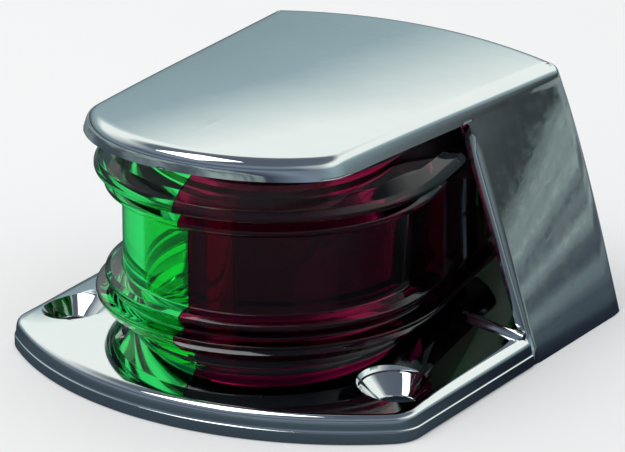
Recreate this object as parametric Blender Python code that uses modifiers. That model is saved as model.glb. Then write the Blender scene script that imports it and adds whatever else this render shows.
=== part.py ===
"""Bow navigation light: a chromed die-cast base and cover around a red and green lens.

Metres, +Z up. The deck is the plane z = 0, the bow points along -Y and port along +X.
The origin is the middle of the footprint on the deck.
"""
import math

import bmesh
import bpy
from mathutils import Matrix, Vector

MM = 0.001

# --- Footprint, shared by the base plate and the bottom of the cover ---
FOOT_FRONT_HALF = 43.4 * MM
FOOT_FRONT_Y = -31.4 * MM
FOOT_FRONT_RISE = 16.8 * MM
FOOT_REAR_HALF = 44.55 * MM
FOOT_REAR_Y = 43.51 * MM
FOOT_REAR_RISE = 4.69 * MM
FOOT_CORNER = 7.0 * MM

# --- Hood: the roof of the cover ---
HOOD_FRONT_HALF = 26.0 * MM
HOOD_FRONT_Y = -29.7 * MM
HOOD_FRONT_RISE = 14.7 * MM
HOOD_REAR_HALF = 31.3 * MM
HOOD_REAR_Y = 40.3 * MM
HOOD_REAR_RISE = 4.69 * MM
HOOD_CORNER = 9.0 * MM
HOOD_FRONT_Z = 49.35 * MM
HOOD_REAR_Z = 47.9 * MM
HOOD_CROWN = 1.25 * MM
HOOD_EDGE_RADIUS = 2.3 * MM
HOOD_SHOULDER_POWER = 3.3
REAR_CORNER = 1.6 * MM
REAR_WALL_REACH = 5.0 * MM
WALL = 2.0 * MM
ROOF = 2.3 * MM
LIP_HEIGHT = 3.7 * MM
RIB_Z = 45.5 * MM
RIB_TOP_Z = 48.0 * MM
WALL_LEVELS = (0.0, 0.12, 0.3, 0.5, 0.66, 0.8, 0.9, 1.0)
EDGE_TURNS = (25.0, 50.0, 72.0, 90.0)
CHEEK_FOOT_Y = 11.4 * MM
CHEEK_TOP_Y = 9.5 * MM
WINDOW_REACH = 60.0 * MM
WINDOW_DEPTH = 5.0 * MM

# --- Base plate ---
BASE_EDGE_Z = 5.0 * MM
BASE_BAND_Z = 2.3 * MM
BASE_BAND_STEP = 0.25 * MM
BASE_DRAFT = 0.3 * MM
BASE_EDGE_RADIUS = 0.8 * MM
BASE_DOME = 3.3 * MM
BASE_DOME_Y = 5.0 * MM
BASE_SIDE_Y = (-18.0 * MM, -10.0 * MM, -2.0 * MM, 5.0 * MM)
BASE_POCKET_Z = 4.0 * MM
BASE_POCKET_INSET = 3.0 * MM
DRILL_TOP = 9.0 * MM
SEAT_Z = 6.2 * MM
SEAT_CLEARANCE = 0.6 * MM
STEP_SLANT = 0.3 * MM
COVER_LEAN = 0.31
RIDGE_Y = 11.3 * MM
RIDGE_WIDTH = 2.2 * MM
RIDGE_HEIGHT = 0.9 * MM
RIDGE_INNER_X = 31.0 * MM
RIDGE_OUTER_X = 42.0 * MM
MOUNT_HOLE_X = 35.2 * MM
MOUNT_HOLE_Y = -22.9 * MM
MOUNT_HOLE_RADIUS = 3.4 * MM
COUNTERSINK_RADIUS = 6.65 * MM
COUNTERSINK_DEPTH = 3.4 * MM
MOUNT_BOSS_RADIUS = 7.4 * MM

# --- Lens: a dioptric front around the lens axis, with sides that run back under the cover ---
LENS_Y = -8.85 * MM
LENS_MID_Z = 25.7 * MM
LENS_REAR_Y = 29.5 * MM
LENS_LEAN = math.radians(9.9)
LENS_SWEEP = math.pi / 2.0 + LENS_LEAN
LENS_NECK = 25.8 * MM
LENS_INNER = 23.8 * MM
LENS_HALF_HEIGHT = 18.3 * MM
LENS_STEP_Y = 2.3 * MM
LENS_SIDE = 30.9 * MM
LENS_POCKET_Y = 5.0 * MM
LENS_POCKET_INNER = 27.0 * MM
LENS_POCKET_HALF = 12.0 * MM
LENS_STEP = 0.1 * MM
SEAM_GAP = 0.2 * MM
# Radius and distance from mid height, from the plain band up to the small ring. It ends at the step.
LENS_BAND = ((27.6, 7.8), (30.0, 8.0), (30.7, 8.5))
# The same, from the small ring over the groove and the widest ring to the neck.
LENS_RINGS = ((30.9, 9.3), (28.8, 11.6), (32.65, 11.6), (32.65, 12.3), (32.0, 13.4), (30.1, 15.1), (25.8, 17.1),
              (25.8, 18.3))

# --- Bulb and lamp holder, on an axis that points at the bow ---
BULB_Z = 25.7 * MM
CAP_RADIUS = 7.5 * MM
CAP_LENGTH = 17.0 * MM
# Profiles of small turned pieces, as (radius, distance along the axis) in mm.
CAP = ((5.75, 17.0), (7.5, 16.5), (7.5, 1.2), (6.6, 0.4), (4.4, 0.4), (4.4, 1.2), (6.3, 1.8), (6.9, 2.6),
       (6.9, 15.8), (5.75, 16.1))
STEM = ((0.0, 19.5), (1.3, 19.2), (1.6, 17.0), (4.5, 14.8), (4.5, 14.0), (0.0, 14.0))
INSULATOR = ((0.0, 0.55), (2.2, 0.55), (4.2, 0.2), (4.2, -0.15), (2.0, -0.15), (0.0, -0.15))
END_CONTACT = ((0.0, -0.3), (2.0, -0.3), (1.9, -0.6), (1.2, -0.9), (0.0, -1.0))
INSULATOR_WASHER = ((7.75, -6.6), (7.75, -9.2), (1.95, -9.2), (1.95, -6.6))
TERMINAL = ((0.0, -10.7), (3.2, -10.7), (3.2, -11.3), (0.0, -11.3))
RIVET = ((0.0, 8.6), (1.6, 8.4), (2.6, 7.5), (1.5, 7.5), (1.5, 3.85), (2.5, 3.85), (1.7, 3.0), (0.0, 3.0))
GLOBE_RADIUS = 9.25 * MM
GLOBE_CENTRE = 25.5 * MM
GLASS = 0.7 * MM
NECK_RADIUS = 5.6 * MM
BULB_Y = LENS_Y + GLOBE_CENTRE
PIN_RADIUS = 1.0 * MM
PIN_REACH = 8.5 * MM
PIN_PLACE = 6.5 * MM
HOLDER_INNER = 7.9 * MM
HOLDER_OUTER = 8.7 * MM
HOLDER_FRONT = 13.0 * MM
HOLDER_REAR = -10.2 * MM
HOLDER_FLOOR = 0.8 * MM
HOLDER_EYE = 4.6 * MM
SLOT_WIDTH = 2.6 * MM
SLOT_TURN = math.radians(20.0)
PUSH_TRAVEL = 2.0 * MM
PLUNGER_FACE = -1.2 * MM
PLUNGER_HEAD = 3.5 * MM
PLUNGER_PIN = 1.6 * MM
PLUNGER_REAR = -10.5 * MM
SPRING_RADIUS = 2.65 * MM
SPRING_REAR = -6.1 * MM
SPRING_TURNS = 3.5
SPRING_WIRE = 0.3 * MM
LEAD_WIRE = 0.2 * MM
FILAMENT_LENGTH = 5.6 * MM
FILAMENT_LOOPS = 9
FILAMENT_RADIUS = 0.42 * MM
FILAMENT_WIRE = 0.09 * MM
STRAP = 1.0 * MM
STRAP_WIDTH = 15.0 * MM
STRAP_FRONT_Y = 14.5 * MM

# --- Fixings ---
SCREW_RADIUS = 2.0 * MM
SCREW_HOLE = 2.3 * MM
SCREW_HEAD = 3.7 * MM
SCREW_HEAD_Z = 1.0 * MM
SCREW_HEAD_TOP = 3.05 * MM
WASHER_RADIUS = 4.2 * MM
WASHER_Z = (3.2 * MM, 3.85 * MM)
FRONT_POST = (0.0, -27.0 * MM)
FRONT_POST_RADIUS = 3.6 * MM
FRONT_POST_FOOT = 6.5 * MM
REAR_POST = (31.6 * MM, 37.6 * MM)
REAR_POST_RADIUS = 3.9 * MM
REAR_POST_FOOT = 7.9 * MM
REAR_POST_TOP = 25.0 * MM
POST_HOLE_DEPTH = 13.0 * MM
SCREW_LENGTH = 12.0 * MM
RIVET_X = 5.2 * MM
RIVET_Y = 19.5 * MM
RIVET_RADIUS = 1.5 * MM
OUTLET_Y = 37.0 * MM
OUTLET_RADIUS = 4.9 * MM
GROMMET_BORE = 3.3 * MM
GROMMET_FLANGE = 6.5 * MM

GAP = 0.15 * MM
ARC_STEPS = 16
REAR_STEPS = 8
COIL_STEPS = 12
FILAMENT_STEPS = 8
SIDE_STEPS = 5
ROW_STEPS = 5
SEAT_STEPS = 12
CORNER_STEPS = 4
CORNER_TRIES = 14
SMALLEST_CORNER = 0.5 * MM
MERGE = 0.00001
SHARP = math.radians(32.0)


# ----------------------------------------------------------------------------- scene helpers

def clear_scene():
    for item in list(bpy.data.objects):
        bpy.data.objects.remove(item, do_unlink=True)


def make_collection(name):
    group = bpy.data.collections.new(name)
    bpy.context.scene.collection.children.link(group)
    return group


def make_material(name, colour, roughness, metallic=0.0, transmission=0.0):
    material = bpy.data.materials.new(name)
    material.use_nodes = True
    shader = material.node_tree.nodes["Principled BSDF"]
    shader.inputs["Base Color"].default_value = (*colour, 1.0)
    shader.inputs["Roughness"].default_value = roughness
    shader.inputs["Metallic"].default_value = metallic
    shader.inputs["Transmission Weight"].default_value = transmission
    material.diffuse_color = (*colour, 1.0)
    return material


def add_object(name, mesh, material=None):
    """Put a mesh in the light's collection, or among the cutters when it has no material."""
    item = bpy.data.objects.new(name, mesh)
    if material is None:
        CUTTERS.objects.link(item)
        item.hide_render = True
        item.display_type = "WIRE"
    else:
        LIGHT.objects.link(item)
        mesh.materials.append(material)
        mesh.shade_smooth()
        mesh.set_sharp_from_angle(angle=SHARP)
    return item


def mesh_from_bmesh(name, bm):
    bmesh.ops.recalc_face_normals(bm, faces=bm.faces)
    mesh = bpy.data.meshes.new(name)
    bm.to_mesh(mesh)
    bm.free()
    return mesh


def boolean(target, tool, operation="DIFFERENCE"):
    step = target.modifiers.new(tool.name, "BOOLEAN")
    step.operation = operation
    step.object = tool
    step.solver = "EXACT"


def cut(target, *tools):
    for tool in tools:
        boolean(target, tool)


def unite(target, *tools):
    for tool in tools:
        boolean(target, tool, "UNION")


# ----------------------------------------------------------------------------- shape helpers

def box(name, size, centre, material=None, turn=0.0):
    bm = bmesh.new()
    bmesh.ops.create_cube(bm, size=1.0)
    bmesh.ops.scale(bm, vec=Vector(size), verts=bm.verts)
    bmesh.ops.rotate(bm, matrix=Matrix.Rotation(turn, 3, "Z"), verts=bm.verts)
    item = add_object(name, mesh_from_bmesh(name, bm), material)
    item.location = centre
    return item


def cylinder(name, radius, bottom, top, place=(0.0, 0.0), steps=24, top_radius=None):
    """An upright cylinder or cone, to cut with or to unite."""
    bm = bmesh.new()
    upper = radius if top_radius is None else top_radius
    bmesh.ops.create_cone(bm, cap_ends=True, segments=steps, radius1=radius, radius2=upper,
                          depth=top - bottom)
    item = add_object(name, mesh_from_bmesh(name, bm))
    item.location = (place[0], place[1], (top + bottom) / 2.0)
    return item


def turned(name, profile, steps=24, material=None, closed=False, place=(0.0, 0.0, 0.0)):
    """Turn a profile of (radius, height) points round Z. It runs down its outer side."""
    bm = bmesh.new()
    points = [bm.verts.new((radius, 0.0, height)) for radius, height in profile]
    for first, second in zip(points, points[1:]):
        bm.edges.new((first, second))
    if closed:
        bm.edges.new((points[-1], points[0]))
    mesh = bpy.data.meshes.new(name)
    bm.to_mesh(mesh)
    bm.free()
    item = add_object(name, mesh, material)
    screw = item.modifiers.new("turn", "SCREW")
    screw.axis = "Z"
    screw.angle = 2.0 * math.pi
    screw.steps = steps
    screw.render_steps = steps
    screw.use_merge_vertices = True
    screw.merge_threshold = MERGE
    screw.use_smooth_shade = True
    item.location = place
    return item


def on_bulb_axis(item):
    """Lay a piece built along +Z on the bulb's axis, pointing at the bow."""
    item.rotation_euler = (math.pi / 2.0, 0.0, 0.0)
    item.location = (0.0, BULB_Y, BULB_Z)
    return item


def in_metres(profile):
    return [(radius * MM, along * MM) for radius, along in profile]


def wire(name, points, radius, material, resolution=2):
    """A round wire along straight lines between points."""
    curve = bpy.data.curves.new(name, "CURVE")
    curve.dimensions = "3D"
    curve.bevel_depth = radius
    curve.bevel_resolution = resolution
    curve.use_fill_caps = True
    spline = curve.splines.new("POLY")
    spline.points.add(len(points) - 1)
    for point, place in zip(spline.points, points):
        point.co = (*place, 1.0)
    curve.materials.append(material)
    item = bpy.data.objects.new(name, curve)
    LIGHT.objects.link(item)
    return item


def loft(name, rings, height=None, material=None):
    """Join rings of equal length. The last ring is closed in rows across, at the given height."""
    bm = bmesh.new()
    lines = [[bm.verts.new(point) for point in ring] for ring in rings]
    count = len(lines[0])
    for lower, upper in zip(lines, lines[1:]):
        for i in range(count):
            j = (i + 1) % count
            bm.faces.new((lower[i], lower[j], upper[j], upper[i]))
    bm.faces.new(list(reversed(lines[0])))
    if height is None:
        bm.faces.new(lines[-1])
    else:
        close_in_rows(bm, lines[-1], height)
    return add_object(name, mesh_from_bmesh(name, bm), material)


def close_in_rows(bm, ring, height):
    """Close a ring that starts and turns back on the centre line with rows from side to side."""
    count = len(ring)
    half = count // 2
    rows = [[ring[0]]]
    for k in range(1, half):
        right, left = ring[k], ring[count - k]
        row = [right]
        for step in range(1, ROW_STEPS * 2):
            place = right.co.lerp(left.co, step / (ROW_STEPS * 2.0))
            row.append(bm.verts.new((place.x, place.y, height(place.x, place.y))))
        row.append(left)
        rows.append(row)
    rows.append([ring[half]])
    for first, second in zip(rows, rows[1:]):
        longer = max(len(first), len(second))
        for i in range(longer - 1):
            corners = [
                first[min(i, len(first) - 1)], first[min(i + 1, len(first) - 1)],
                second[min(i + 1, len(second) - 1)], second[min(i, len(second) - 1)],
            ]
            bm.faces.new(list(dict.fromkeys(corners)))


# ----------------------------------------------------------------------------- plan outlines

class Plan:
    """An outline with a bowed front, straight sides and a bowed rear, and rounded corners."""

    def __init__(self, front, rear, front_corner, rear_corner):
        half, y, rise = front
        rear_half, rear_y, rear_rise = rear
        self.slope = (rear_half - half) / (rear_y - y)
        self.side = half - self.slope * y
        self.front_radius = (half ** 2 + rise ** 2) / (2.0 * rise)
        self.front_centre = y - rise + self.front_radius
        self.rear_radius = (rear_half ** 2 + rear_rise ** 2) / (2.0 * rear_rise)
        self.rear_centre = rear_y + rear_rise - self.rear_radius
        self.front_corner = front_corner
        self.rear_corner = rear_corner
        self.side_turn = math.pi / 2.0 - math.atan(self.slope)

    def half_width(self, y, inset=0.0):
        return self.side + self.slope * y - inset * math.hypot(1.0, self.slope)

    def rounding(self, centre, radius, sign, corner, inset):
        """A corner arc between the inset side and an inset end: its centre, its radius and where it starts."""
        fillet = max(corner - inset, SMALLEST_CORNER)
        y = centre
        for _ in range(CORNER_TRIES):
            x = self.half_width(y, inset + fillet)
            y = centre + sign * math.sqrt(max((radius - inset - fillet) ** 2 - x ** 2, 0.0))
        return x, y, fillet, math.atan2(x, sign * (y - centre))

    def front_half(self, inset=0.0):
        """Points from the front of the centre line round the right corner to the start of the side."""
        x, y, fillet, turn = self.rounding(self.front_centre, self.front_radius, -1.0, self.front_corner, inset)
        radius = self.front_radius - inset
        bow = [arc_point(0.0, self.front_centre, radius, turn * k / ARC_STEPS) for k in range(ARC_STEPS)]
        return bow + [arc_point(x, y, fillet, turn + (self.side_turn - turn) * k / CORNER_STEPS)
                      for k in range(CORNER_STEPS + 1)]

    def rear_half(self, inset=0.0):
        """Points from the end of the right side round the corner to the rear of the centre line."""
        x, y, fillet, turn = self.rounding(self.rear_centre, self.rear_radius, 1.0, self.rear_corner, inset)
        radius = self.rear_radius - inset
        left = math.pi - turn - self.side_turn
        corner = []
        for k in range(CORNER_STEPS):
            corner.append(arc_point(x, y, fillet, self.side_turn + left * k / CORNER_STEPS))
        return corner + [arc_point(0.0, self.rear_centre, radius, math.pi - turn * (1.0 - k / REAR_STEPS))
                         for k in range(REAR_STEPS + 1)]

    def right_half(self, inset=0.0):
        front, rear = self.front_half(inset), self.rear_half(inset)
        start, end = Vector(front[-1]), Vector(rear[0])
        return front + [tuple(start.lerp(end, k / SIDE_STEPS)) for k in range(1, SIDE_STEPS)] + rear

    def outline(self, inset=0.0):
        return mirrored(self.right_half(inset))


def arc_point(x, y, radius, turn):
    """A point on an arc. The turn is measured from the bow towards the right."""
    return x + radius * math.sin(turn), y - radius * math.cos(turn)


def mirrored(points):
    """Complete a right half that starts and ends on the centre line."""
    return points + [(-x, y) for x, y in reversed(points[1:-1])]


FOOT = Plan((FOOT_FRONT_HALF, FOOT_FRONT_Y, FOOT_FRONT_RISE),
            (FOOT_REAR_HALF, FOOT_REAR_Y, FOOT_REAR_RISE), FOOT_CORNER, REAR_CORNER)
HOOD = Plan((HOOD_FRONT_HALF, HOOD_FRONT_Y, HOOD_FRONT_RISE),
            (HOOD_REAR_HALF, HOOD_REAR_Y, HOOD_REAR_RISE), HOOD_CORNER, REAR_CORNER)


def hood_height(x, y):
    """Height of the roof: it falls slightly to the rear and is crowned from side to side."""
    along = (y - HOOD_FRONT_Y) / (HOOD_REAR_Y - HOOD_FRONT_Y)
    across = x / HOOD.half_width(y)
    return HOOD_FRONT_Z + (HOOD_REAR_Z - HOOD_FRONT_Z) * along + HOOD_CROWN * (1.0 - across ** 2)


def base_height(x, y):
    """Height of the base plate's pillowed top."""
    across = min(abs(x) / FOOT.half_width(y), 1.0)
    height = 1.0 - across ** 3
    if y < BASE_DOME_Y:
        bow = FOOT.front_centre - math.sqrt(max(FOOT.front_radius ** 2 - x ** 2, 0.0))
        height *= 1.0 - min((BASE_DOME_Y - y) / (BASE_DOME_Y - bow), 1.0) ** 3
    return BASE_EDGE_Z + BASE_DOME * height


def lens_side_point(offset, y):
    """A point on a side of the lens, at an offset from its axis."""
    return (offset - (y - LENS_Y) * math.sin(LENS_LEAN)) / math.cos(LENS_LEAN), y


def lens_point(offset, u):
    """Lens outline at an offset from its axis: u is 0 to 1 round the bow and 1 to 2 down the side."""
    angle = LENS_SWEEP * min(u, 1.0)
    x = offset * math.sin(angle)
    y = LENS_Y - offset * math.cos(angle)
    if u > 1.0:
        run = (u - 1.0) * (LENS_REAR_Y - y) / math.cos(LENS_LEAN)
        x -= run * math.sin(LENS_LEAN)
        y += run * math.cos(LENS_LEAN)
    return x, y


# ----------------------------------------------------------------------------- castings

def block_rings(inset, bottom, drop):
    """Rings of the cover's outer form, or of the space inside it when inset. The rear wall bends over."""
    foot = FOOT.outline(inset)
    hood = HOOD.outline(inset)
    rear_from = FOOT_REAR_Y - REAR_WALL_REACH
    rings = []
    for level in WALL_LEVELS:
        ring = []
        for (foot_x, foot_y), (hood_x, hood_y) in zip(foot, hood):
            top = hood_height(hood_x, hood_y) - drop
            z = bottom + (top - bottom) * level
            share = z / hood_height(hood_x, hood_y)
            bend = max(share, 0.0) ** HOOD_SHOULDER_POWER if foot_y > rear_from else share
            ring.append((foot_x + (hood_x - foot_x) * share, foot_y + (hood_y - foot_y) * bend, z))
        rings.append(ring)
    return rings


def hood_edge_rings():
    """Rings that roll the side walls over into the roof."""
    rings = []
    for degrees in EDGE_TURNS:
        angle = math.radians(degrees)
        inset = HOOD_EDGE_RADIUS * (1.0 - math.cos(angle))
        drop = HOOD_EDGE_RADIUS * (1.0 - math.sin(angle))
        rings.append([(x, y, hood_height(x, y) - drop) for x, y in HOOD.outline(inset)])
    return rings


def rib_under_hood():
    """A rib under the roof that follows the lens and presses on its upper gasket."""
    rib = lens_sweep("cover_rib", [(LENS_INNER, RIB_Z), (LENS_NECK, RIB_Z), (LENS_NECK, RIB_TOP_Z),
                                   (LENS_INNER, RIB_TOP_Z)])
    for vertex in rib.data.vertices:
        if vertex.co.z > (RIB_Z + RIB_TOP_Z) / 2.0:
            vertex.co.z = hood_height(vertex.co.x, vertex.co.y) - ROOF / 2.0
    return rib


def window_cutter():
    """Everything ahead of the cheeks and below the hood's lip."""
    far_x, far_y = WINDOW_REACH, -WINDOW_REACH
    columns, rows = 12, 10
    bm = bmesh.new()
    grid = []
    for i in range(rows + 1):
        line = []
        for j in range(columns + 1):
            x = -far_x + 2.0 * far_x * j / columns
            y = far_y + (CHEEK_TOP_Y - far_y) * i / rows
            line.append(bm.verts.new((x, y, lip_height(x, y))))
        grid.append(line)
    for near, far in zip(grid, grid[1:]):
        for j in range(columns):
            bm.faces.new((near[j], near[j + 1], far[j + 1], far[j]))
    bottom = -WINDOW_DEPTH
    below = CHEEK_FOOT_Y + (CHEEK_FOOT_Y - CHEEK_TOP_Y) * WINDOW_DEPTH / (HOOD_FRONT_Z - LIP_HEIGHT)
    corners = [bm.verts.new(place) for place in ((-far_x, far_y, bottom), (far_x, far_y, bottom),
                                                 (far_x, below, bottom), (-far_x, below, bottom))]
    bm.faces.new([corners[3], corners[2], corners[1], corners[0]])
    bm.faces.new([corners[0], corners[1], *reversed(grid[0])])
    bm.faces.new([corners[2], corners[3], *grid[-1]])
    bm.faces.new([corners[1], corners[2], *[line[-1] for line in reversed(grid)]])
    bm.faces.new([corners[3], corners[0], *[line[0] for line in grid]])
    return add_object("cover_window", mesh_from_bmesh("cover_window", bm))


def lip_height(x, y):
    across = min(abs(x) / HOOD.half_width(y), 1.25)
    level = hood_height(0.0, y) - HOOD_CROWN * across ** 2
    return level - LIP_HEIGHT


def make_cover():
    outer = block_rings(0.0, 0.0, HOOD_EDGE_RADIUS) + hood_edge_rings()
    cover = loft("cover", outer, hood_height, CHROME)
    inner = loft("cover_inside", block_rings(WALL, -3.0 * MM, ROOF),
                 lambda x, y: hood_height(x, y) - ROOF)
    cut(cover, inner, window_cutter())
    post_top = hood_height(*FRONT_POST) - ROOF / 2.0
    unite(cover, cylinder("front_post", FRONT_POST_RADIUS, FRONT_POST_FOOT, post_top, FRONT_POST),
          rib_under_hood())
    cut(cover, screw_hole("front_post_hole", FRONT_POST, FRONT_POST_FOOT))
    for side, sign in (("port", 1.0), ("starboard", -1.0)):
        place = (sign * REAR_POST[0], REAR_POST[1])
        unite(cover, cylinder("rear_post_" + side, REAR_POST_RADIUS, REAR_POST_FOOT, REAR_POST_TOP, place))
        cut(cover, screw_hole("rear_post_hole_" + side, place, REAR_POST_FOOT))
    return cover


def screw_hole(name, place, foot):
    return cylinder(name, SCREW_HOLE, foot - 2.0 * MM, foot + POST_HOLE_DEPTH, place, steps=16)


def base_outline(inset, z=0.0):
    """The plate's outline: full width ahead of the cheeks, and inside the leaning cover behind them."""
    step_y = CHEEK_FOOT_Y - 5.0 * GAP - inset
    inner = WALL + 2.0 * GAP + COVER_LEAN * z
    points = FOOT.front_half(inset)
    points += [(FOOT.half_width(y, inset), y) for y in (*BASE_SIDE_Y, step_y)]
    points += [(FOOT.half_width(step_y, inner), step_y + STEP_SLANT)]
    return mirrored(points + FOOT.rear_half(inner))


def make_base():
    levels = (
        (0.0, 0.0), (0.0, BASE_BAND_Z - 0.15 * MM), (BASE_BAND_STEP, BASE_BAND_Z + 0.15 * MM),
        (BASE_BAND_STEP + BASE_DRAFT, BASE_EDGE_Z - BASE_EDGE_RADIUS),
        (BASE_BAND_STEP + BASE_DRAFT + 0.3 * BASE_EDGE_RADIUS, BASE_EDGE_Z - 0.3 * BASE_EDGE_RADIUS),
    )
    rings = [[(x, y, z) for x, y in base_outline(inset, z)] for inset, z in levels]
    top_inset = BASE_BAND_STEP + BASE_DRAFT + BASE_EDGE_RADIUS
    rings.append([(x, y, base_height(x, y)) for x, y in base_outline(top_inset, BASE_EDGE_Z + MM)])
    base = loft("base_plate", rings, base_height, CHROME)
    unite(base, *[base_ridge(side, sign) for side, sign in (("port", 1.0), ("starboard", -1.0))])
    pocket_outline = base_outline(BASE_POCKET_INSET, 3.0 * BASE_POCKET_Z)
    cut(base, prism("base_pocket", pocket_outline, -MM, BASE_POCKET_Z),
        prism("lens_seat", lens_seat_outline(), SEAT_Z, SEAT_Z + 6.0 * MM),
        cylinder("outlet_seat", GROMMET_FLANGE + MM, SEAT_Z, SEAT_Z + 6.0 * MM, (0.0, OUTLET_Y)),
        cylinder("outlet_hole", OUTLET_RADIUS, 0.0, DRILL_TOP, (0.0, OUTLET_Y)))
    cut(base, cylinder("outlet_space", GROMMET_FLANGE + MM, -MM, BASE_POCKET_Z, (0.0, OUTLET_Y)))
    for side, sign in (("port", 1.0), ("starboard", -1.0)):
        hole = (sign * MOUNT_HOLE_X, MOUNT_HOLE_Y)
        unite(base, cylinder("mount_boss_" + side, MOUNT_BOSS_RADIUS, 0.0, BASE_EDGE_Z, hole))
        top = base_height(*hole)
        cut(base, cylinder("mount_hole_" + side, MOUNT_HOLE_RADIUS, -MM, DRILL_TOP, hole),
            cylinder("countersink_" + side, MOUNT_HOLE_RADIUS, top - COUNTERSINK_DEPTH,
                     top + 0.6 * MM, hole, steps=32,
                     top_radius=COUNTERSINK_RADIUS + 0.6 * MM))
        rear = (sign * REAR_POST[0], REAR_POST[1])
        cut(base, cylinder("rear_screw_space_" + side, WASHER_RADIUS + 2.0 * GAP, -MM,
                           BASE_POCKET_Z, rear),
            cylinder("base_rear_hole_" + side, SCREW_HOLE, 0.0, DRILL_TOP, rear, steps=16))
        rivet = (sign * RIVET_X, RIVET_Y)
        cut(base, cylinder("rivet_hole_" + side, RIVET_RADIUS + GAP, 0.0, DRILL_TOP, rivet, steps=12))
    cut(base, cylinder("base_front_hole", SCREW_HOLE, 0.0, DRILL_TOP, FRONT_POST, steps=16))
    return base


def base_ridge(side, sign):
    """A low weir across the plate, just ahead of each cheek's foot."""
    middle = (RIDGE_INNER_X + RIDGE_OUTER_X) / 2.0
    low = base_height(RIDGE_OUTER_X, RIDGE_Y) - MM
    high = base_height(RIDGE_INNER_X, RIDGE_Y) + RIDGE_HEIGHT
    ridge = box("base_ridge_" + side, (RIDGE_OUTER_X - RIDGE_INNER_X, RIDGE_WIDTH, high - low),
                (sign * middle, RIDGE_Y - RIDGE_WIDTH / 2.0 - 2.0 * GAP, (high + low) / 2.0))
    for vertex in ridge.data.vertices:
        if vertex.co.z > 0.0:
            x = abs(vertex.co.x + sign * middle)
            vertex.co.z = base_height(x, RIDGE_Y) + RIDGE_HEIGHT - ridge.location.z
            vertex.co.y *= 0.55
    return ridge


def prism(name, outline, bottom, top):
    return loft(name, [[(x, y, z) for x, y in outline] for z in (bottom, top)])


def lens_seat_outline():
    side = [lens_point(LENS_NECK + SEAT_CLEARANCE, k / SEAT_STEPS) for k in range(SEAT_STEPS + 1)]
    side.append(lens_point(LENS_NECK + SEAT_CLEARANCE, 2.0))
    x, y = side[-1]
    return mirrored(side[:-1] + [(x, y + MM), (0.0, y + MM)])


# ----------------------------------------------------------------------------- lens and gaskets

def lens_sweep(name, profile, material=None):
    """Sweep a closed profile of (offset, height) round the bow and back along both sides."""
    half = [k / ARC_STEPS for k in range(ARC_STEPS + 1)] + [1.5, 2.0]
    rings = []
    for u in [-u for u in reversed(half[1:])] + half:
        places = [(lens_point(offset, abs(u)), z) for offset, z in profile]
        rings.append([(math.copysign(x, u), y, z) for (x, y), z in places])
    return loft(name, rings, material=material)


def lens_section(recessed, hollowed):
    """The lens's closed section as (offset, z), with or without a recessed band and a hollowed side."""
    band = [(r * MM if recessed else LENS_SIDE, h * MM) for r, h in LENS_BAND]
    outer = band + [(r * MM, h * MM) for r, h in LENS_RINGS]
    inner = [(LENS_INNER, LENS_HALF_HEIGHT), (LENS_INNER, LENS_POCKET_HALF + LENS_STEP),
             (LENS_POCKET_INNER if hollowed else LENS_INNER, LENS_POCKET_HALF)]
    upper = outer + inner
    lower = [(offset, -height) for offset, height in reversed(upper)]
    return [(offset, LENS_MID_Z + height) for offset, height in upper + lower]


def make_lens(name, side, material):
    rows = []
    for k in range(ARC_STEPS + 1):
        rows.append([(*lens_point(offset, k / ARC_STEPS), z) for offset, z in lens_section(True, False)])
    for y, recessed, hollowed in (
            (LENS_STEP_Y, True, False), (LENS_STEP_Y + LENS_STEP, False, False), (LENS_POCKET_Y, False, False),
            (LENS_POCKET_Y + LENS_STEP, False, True), (LENS_REAR_Y, False, True)):
        rows.append([(*lens_side_point(offset, y), z) for offset, z in lens_section(recessed, hollowed)])
    rings = [[(side * max(x, SEAM_GAP / 2.0), y, z) for x, y, z in row] for row in rows]
    return loft(name, rings, material=material)


def make_gaskets():
    low = (SEAT_Z + GAP, LENS_MID_Z - LENS_HALF_HEIGHT - GAP)
    high = (LENS_MID_Z + LENS_HALF_HEIGHT + GAP, RIB_Z - GAP)
    for name, (bottom, top) in (("lens_gasket_lower", low), ("lens_gasket_upper", high)):
        section = [(LENS_INNER, bottom), (LENS_NECK, bottom), (LENS_NECK, top), (LENS_INNER, top)]
        lens_sweep(name, section, RUBBER)


# ----------------------------------------------------------------------------- bulb and holder

def arc_points(radius, centre, first, last, steps):
    """Profile points on a circle about (0, centre), from one angle above the plane to another."""
    points = []
    for k in range(steps + 1):
        angle = math.radians(first + (last - first) * k / steps)
        points.append((radius * math.cos(angle), centre + radius * math.sin(angle)))
    return points


def make_bulb():
    low = -math.degrees(math.acos(NECK_RADIUS / GLOBE_RADIUS))
    inner_radius = GLOBE_RADIUS - GLASS
    inner_low = -math.degrees(math.acos((NECK_RADIUS - GLASS) / inner_radius))
    foot = CAP_LENGTH - 2.0 * MM
    outer = arc_points(GLOBE_RADIUS, GLOBE_CENTRE, 90.0, low, 12)
    inner = arc_points(inner_radius, GLOBE_CENTRE, inner_low, 90.0, 10)
    outer[0] = (0.0, outer[0][1])
    inner[-1] = (0.0, inner[-1][1])
    glass = outer + [(NECK_RADIUS, foot), (NECK_RADIUS - GLASS, foot)] + inner
    on_bulb_axis(turned("bulb_glass", glass, steps=28, material=CLEAR))
    on_bulb_axis(turned("bulb_stem", in_metres(STEM), steps=14, material=CLEAR))
    shell = on_bulb_axis(turned("bulb_cap", in_metres(CAP), steps=28, material=BRASS, closed=True))
    for side, sign in (("port", 1.0), ("starboard", -1.0)):
        unite(shell, bayonet_pin(side, sign))
    on_bulb_axis(turned("bulb_insulator", in_metres(INSULATOR), steps=20, material=BLACK_GLASS))
    on_bulb_axis(turned("bulb_contact", in_metres(END_CONTACT), steps=16, material=SOLDER))
    make_filament()


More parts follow.
